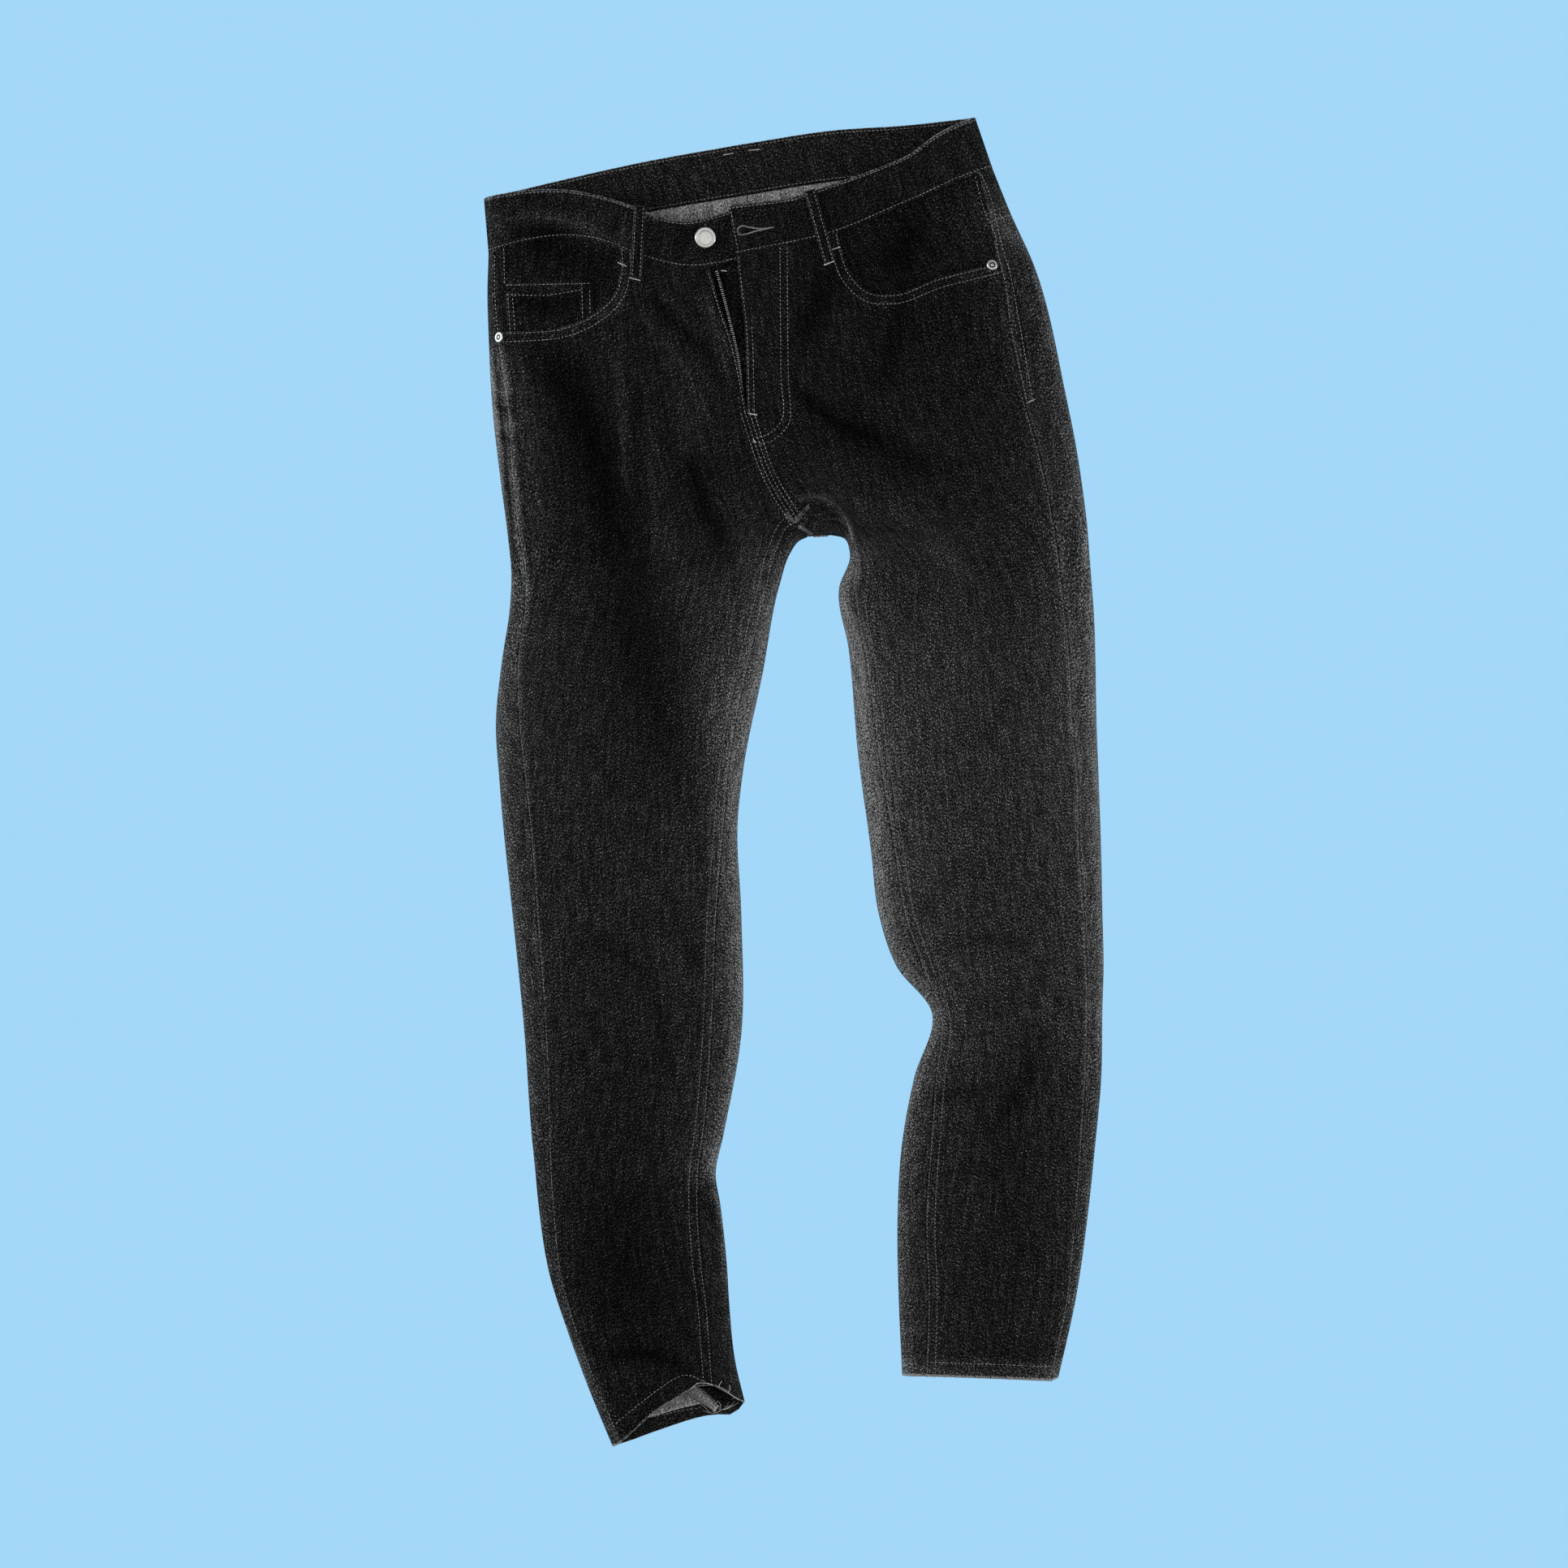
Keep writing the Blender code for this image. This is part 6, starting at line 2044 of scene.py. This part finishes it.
    @staticmethod
    def _tacks() -> list[Row]:
        """Bar tacks at pocket mouths, loops, the fly, the side seam and the back of the waist."""
        on_loop = 2.6
        in_band = -2.6
        places = (
            ((-147, 435.2), (-140, 432.1), Face.TOP, 0.0),
            ((-137.8, 422.4), (-128.6, 420.2), Face.TOP, on_loop),
            ((32.5, 446.2), (38.6, 448.1), Face.LAPPED, 0.0),
            ((25.6, 433.0), (34.2, 436.3), Face.LAPPED, on_loop),
            ((-38.0, 309.0), (-31.0, 307.6), Face.LAPPED, 0.1),
            ((-33.8, 286.8), (-30.6, 283.6), Face.LAPPED, 0.1),
            ((194.5, 317.5), (201.5, 320.5), Face.TOP, 0.1),
            ((-59.2, 526.6), (-51.0, 528.2), Face.UNDER, in_band),
            ((-37.9, 530.4), (-29.2, 531.4), Face.UNDER, in_band),
            ((-54.2, 482.5), (-52.6, 482.7), Face.LAPPED, 0.7),
            ((-60.5, 428.5), (-56.5, 428.0), Face.TOP, 0.2),
        )
        return [Row(straight_row(start, end, np.linspace(0, 1, 10)), face, lift)
                for start, end, face, lift in places]

    @staticmethod
    def _crotch_tacks() -> list[Row]:
        """Three ladders of short threads where the crotch seams cross."""
        ladders = (
            ((-6.8, 224.4), (5.4, 213.5)), ((1.4, 218.3), (16.3, 236.0)), ((4.1, 214.9), (15.0, 208.1)),
        )
        shares = np.linspace(0, 1, 12)
        return [Row(straight_row(start, end, shares), Face.TOP, 0.1) for start, end in ladders]

    def _loops(self) -> None:
        """Two rows down each front belt loop."""
        points, ups = [], []
        for name in self.waist.loops:
            grid, normals = self.waist.loop_grid(name, np.array((-0.62, 0.62)))
            for column in range(2):
                points.append(grid[2:-2, column] + normals[2:-2] * self.thread_lift)
                ups.append(normals[2:-2])
        made = self.tree.sew("stitching_loops", points, ups, TOPSTITCH, self.wardrobe.grey_thread)
        declare(made, ())

    @staticmethod
    def _buttonhole() -> list[Row]:
        """The worked edge of the keyhole buttonhole, a drop with its round end to the centre."""
        drop = Course((
            (-17, 464.8), (-27, 463.4), (-38, 464.6), (-43.5, 465.6), (-46.5, 463.6), (-47.2, 460.8),
            (-45.2, 458.4), (-41, 458.6), (-33, 461.0), (-25, 462.8), (-17, 464.8),
        )).line(0.8)
        return [Row(drop, Face.LAPPED, 0.7)]

    def _zip(self) -> None:
        """Zip teeth down the inner edge of the tape."""
        edge = Course(((-64.5, 428), (-58, 404), (-52.5, 382), (-47.5, 360), (-44.5, 338), (-43.5, 326)))
        on, normals = self.lie.on_skin(edge.line(1.5), Face.TOP)
        points = on - normals * self.zip_depth
        made = self.tree.sew("zip_teeth", [points], [normals], ZIP_TEETH, self.wardrobe.teeth)
        declare(made, ())


@dataclass
class Trim:
    """The waist button and the pocket rivets, turned on a lathe of profile points."""

    lie: Lie
    wardrobe: Wardrobe
    sides: int = 64
    button_at: Point = (-74, 456)
    button_radius: float = 8.75
    rivet_radius: float = 4.5
    # The place of each rivet, and how far it leans to the wearer's left with the rolled cloth
    rivets: dict[str, tuple[Point, float]] = field(default_factory=lambda: {
        "rivet_right": ((-246, 372.5), -0.5), "rivet_left": ((166, 433), 0.2),
    })
    # Shares of the radius, and heights over the cloth in millimetres
    button_profile: tuple[Point, ...] = (
        (0.42, 0.0), (0.42, 1.2), (0.90, 1.3), (0.98, 1.5), (1.0, 1.95), (0.985, 2.4), (0.93, 2.75),
        (0.86, 2.82), (0.80, 2.74), (0.755, 2.62), (0.72, 2.66), (0.68, 2.86), (0.62, 2.98), (0.45, 3.1),
        (0.25, 3.16), (0.08, 3.18), (0.0, 3.18),
    )
    rivet_profile: tuple[Point, ...] = (
        (0.96, 0.0), (1.0, 0.22), (0.97, 0.6), (0.84, 0.92), (0.68, 1.0), (0.57, 0.92), (0.53, 0.5),
        (0.52, 0.15), (0.34, 0.15), (0.31, 0.6), (0.25, 0.95), (0.14, 1.12), (0.0, 1.16),
    )
    # The recess of a rivet, from one profile point to another, is painted dark as shade
    shaded_recess: tuple[int, int] = (5, 8)
    # Rims that turn by more than this stay sharp
    sharp_angle: float = math.radians(48)

    def build(self) -> None:
        self._turn("button", self.button_at, self.button_radius, self.button_profile, 1.0, 0.0, (0, 0))
        for name, (at, lean) in self.rivets.items():
            clear = 0.1 + 2.0 * abs(lean)
            self._turn(name, at, self.rivet_radius, self.rivet_profile, clear, lean, self.shaded_recess)

    def _turn(
        self, name: str, at: Point, radius: float, profile: tuple[Point, ...], clear: float, lean: float,
        shaded_recess: tuple[int, int],
    ) -> None:
        """Turns a profile about the cloth's normal, closed at its middle.

        Args:
            name: the node that the piece stands for.
            at: its place in plan.
            radius: its radius in millimetres.
            profile: shares of the radius and heights, from the rim to the middle.
            clear: how far its foot stands off the cloth.
            lean: how far its axis leans to the wearer's left.
            shaded_recess: the profile points between which the metal is dark.
        """
        points, normals = self.lie.on_skin(np.array([at], float), Face.TOP)
        axis = normals[0] + np.array((lean, 0.0, 0.0))
        axis /= np.linalg.norm(axis)
        side = np.cross((0, 1, 0), axis)
        side /= np.linalg.norm(side)
        other = np.cross(axis, side)
        base = points[0] + axis * clear
        rings = []
        for share, height in profile[:-1]:
            for k in range(self.sides):
                angle = math.tau * k / self.sides
                spoke = side * math.cos(angle) + other * math.sin(angle)
                rings.append(base + axis * height + radius * share * spoke)
        count = len(profile) - 1
        top = base + axis * profile[-1][1]
        faces = [tuple(reversed(range(self.sides)))]
        for ring in range(count - 1):
            start = ring * self.sides
            for k in range(self.sides):
                n = (k + 1) % self.sides
                faces.append((start + k, start + n, start + n + self.sides, start + k + self.sides))
        last = (count - 1) * self.sides
        for k in range(self.sides):
            faces.append((last + k, last + (k + 1) % self.sides, count * self.sides))
        mesh = bpy.data.meshes.new(name + "_metal")
        mesh.from_pydata([tuple(p * MM) for p in [*rings, top]], [], faces)
        mesh.materials.append(self.wardrobe.metal)
        mesh.materials.append(self.wardrobe.recess_shade_metal)
        for ring in range(*shaded_recess):
            for k in range(self.sides):
                mesh.polygons[1 + ring * self.sides + k].material_index = 1
        mesh.shade_smooth()
        mesh.set_sharp_from_angle(angle=self.sharp_angle)
        declare(place(name + "_metal", mesh), (name,))


@dataclass
class Studio:
    """The pale surface, the soft light and the camera straight above."""

    # The width that the picture takes in, and the place at its middle, in millimetres
    frame_mm: float = 1314.0
    centre: Point = (-8.2, -1.4)
    lens: float = 200.0
    # Height over the table at which the frame measures its full width
    sharp_mm: float = 17.0
    sensor: float = 36.0
    backdrop: str = "#a4d7f8"
    # Half the table's side in metres, and how far it lies under the cloth in millimetres
    reach: float = 5.0
    drop_mm: float = 0.2

    def build(self) -> None:
        """Sets the floor, the lights and the camera."""
        self._floor()
        self._world()
        self._softbox("softbox_over", (0.0, 0.1, 2.6), (0.0, 0.0), 2.2, 16.0)
        self._softbox("softbox_left", (-2.4, 0.5, 0.75), (-0.1, 0.0), 0.9, 42.0)
        self._softbox("softbox_right", (2.4, -0.2, 0.75), (0.1, 0.0), 0.9, 30.0)
        self._camera()
        scene = bpy.context.scene
        scene.view_settings.view_transform = "Standard"
        scene.view_settings.look = "None"

    def _floor(self) -> None:
        """A wide plain light table, which keeps no shadow."""
        mesh = bpy.data.meshes.new("floor")
        corners = [(x * self.reach, y * self.reach, 0) for x, y in ((-1, -1), (1, -1), (1, 1), (-1, 1))]
        mesh.from_pydata(corners, [], [(0, 1, 2, 3)])
        material, _, shader = new_material("light_table")
        feed(shader, {
            "Base Color": linear("#000000"), "Roughness": 1.0, "Specular IOR Level": 0.0,
            "Emission Color": linear(self.backdrop), "Emission Strength": 1.0,
        })
        mesh.materials.append(material)
        floor = place("floor", mesh)
        floor.location.z = -self.drop_mm * MM

    @staticmethod
    def _world() -> None:
        """An even white room."""
        world = bpy.data.worlds.new("room")
        world.use_nodes = True
        feed(world.node_tree.nodes["Background"], {"Color": (1.0, 1.0, 1.0, 1.0), "Strength": 0.3})
        bpy.context.scene.world = world

    @staticmethod
    def _softbox(name: str, at: tuple[float, float, float], aim: Point, size: float, power: float) -> None:
        """A square soft light that faces a place on the floor."""
        lamp = bpy.data.lights.new(name, "AREA")
        lamp.shape = "SQUARE"
        lamp.size = size
        lamp.energy = power
        box = place(name, lamp)
        box.location = at
        toward = Vector((*aim, 0.0)) - Vector(at)
        box.rotation_euler = toward.to_track_quat("-Z", "Y").to_euler()

    def _camera(self) -> None:
        """A long lens straight above, which takes in the photograph's whole square."""
        data = bpy.data.cameras.new("camera")
        data.lens = self.lens
        data.sensor_width = self.sensor
        data.clip_end = 30.0
        camera = place("camera", data)
        distance = self.frame_mm * MM * self.lens / self.sensor
        camera.location = (self.centre[0] * MM, self.centre[1] * MM, distance + self.sharp_mm * MM)
        bpy.context.scene.camera = camera


def main() -> None:
    """Builds the jeans in order."""
    logging.basicConfig(level=logging.INFO, format="%(name)s %(message)s")
    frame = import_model()
    pattern = Pattern()
    lie = Lie(pattern)
    tone = Tone(lie)
    wardrobe = Wardrobe()
    Legs(lie, tone, wardrobe).build()
    waist = Waist(lie, tone, wardrobe)
    waist.build()
    Pockets(lie, tone, wardrobe).build()
    HemMouth(lie, wardrobe).build()
    Sewer(lie, wardrobe, waist, ThreadTree()).build()
    Trim(lie, wardrobe).build()
    for name in ("back_pocket_right", "back_pocket_left", "belt_loop_back_right", "belt_loop_back_left",
                 "belt_loop_back_centre", "fly_shield"):
        frame["nodes"][name].material_slots[0].material = wardrobe.plain
    frame["nodes"]["zip_tape"].material_slots[0].material = wardrobe.tape
    Studio().build()


if __name__ == "__main__":
    main()
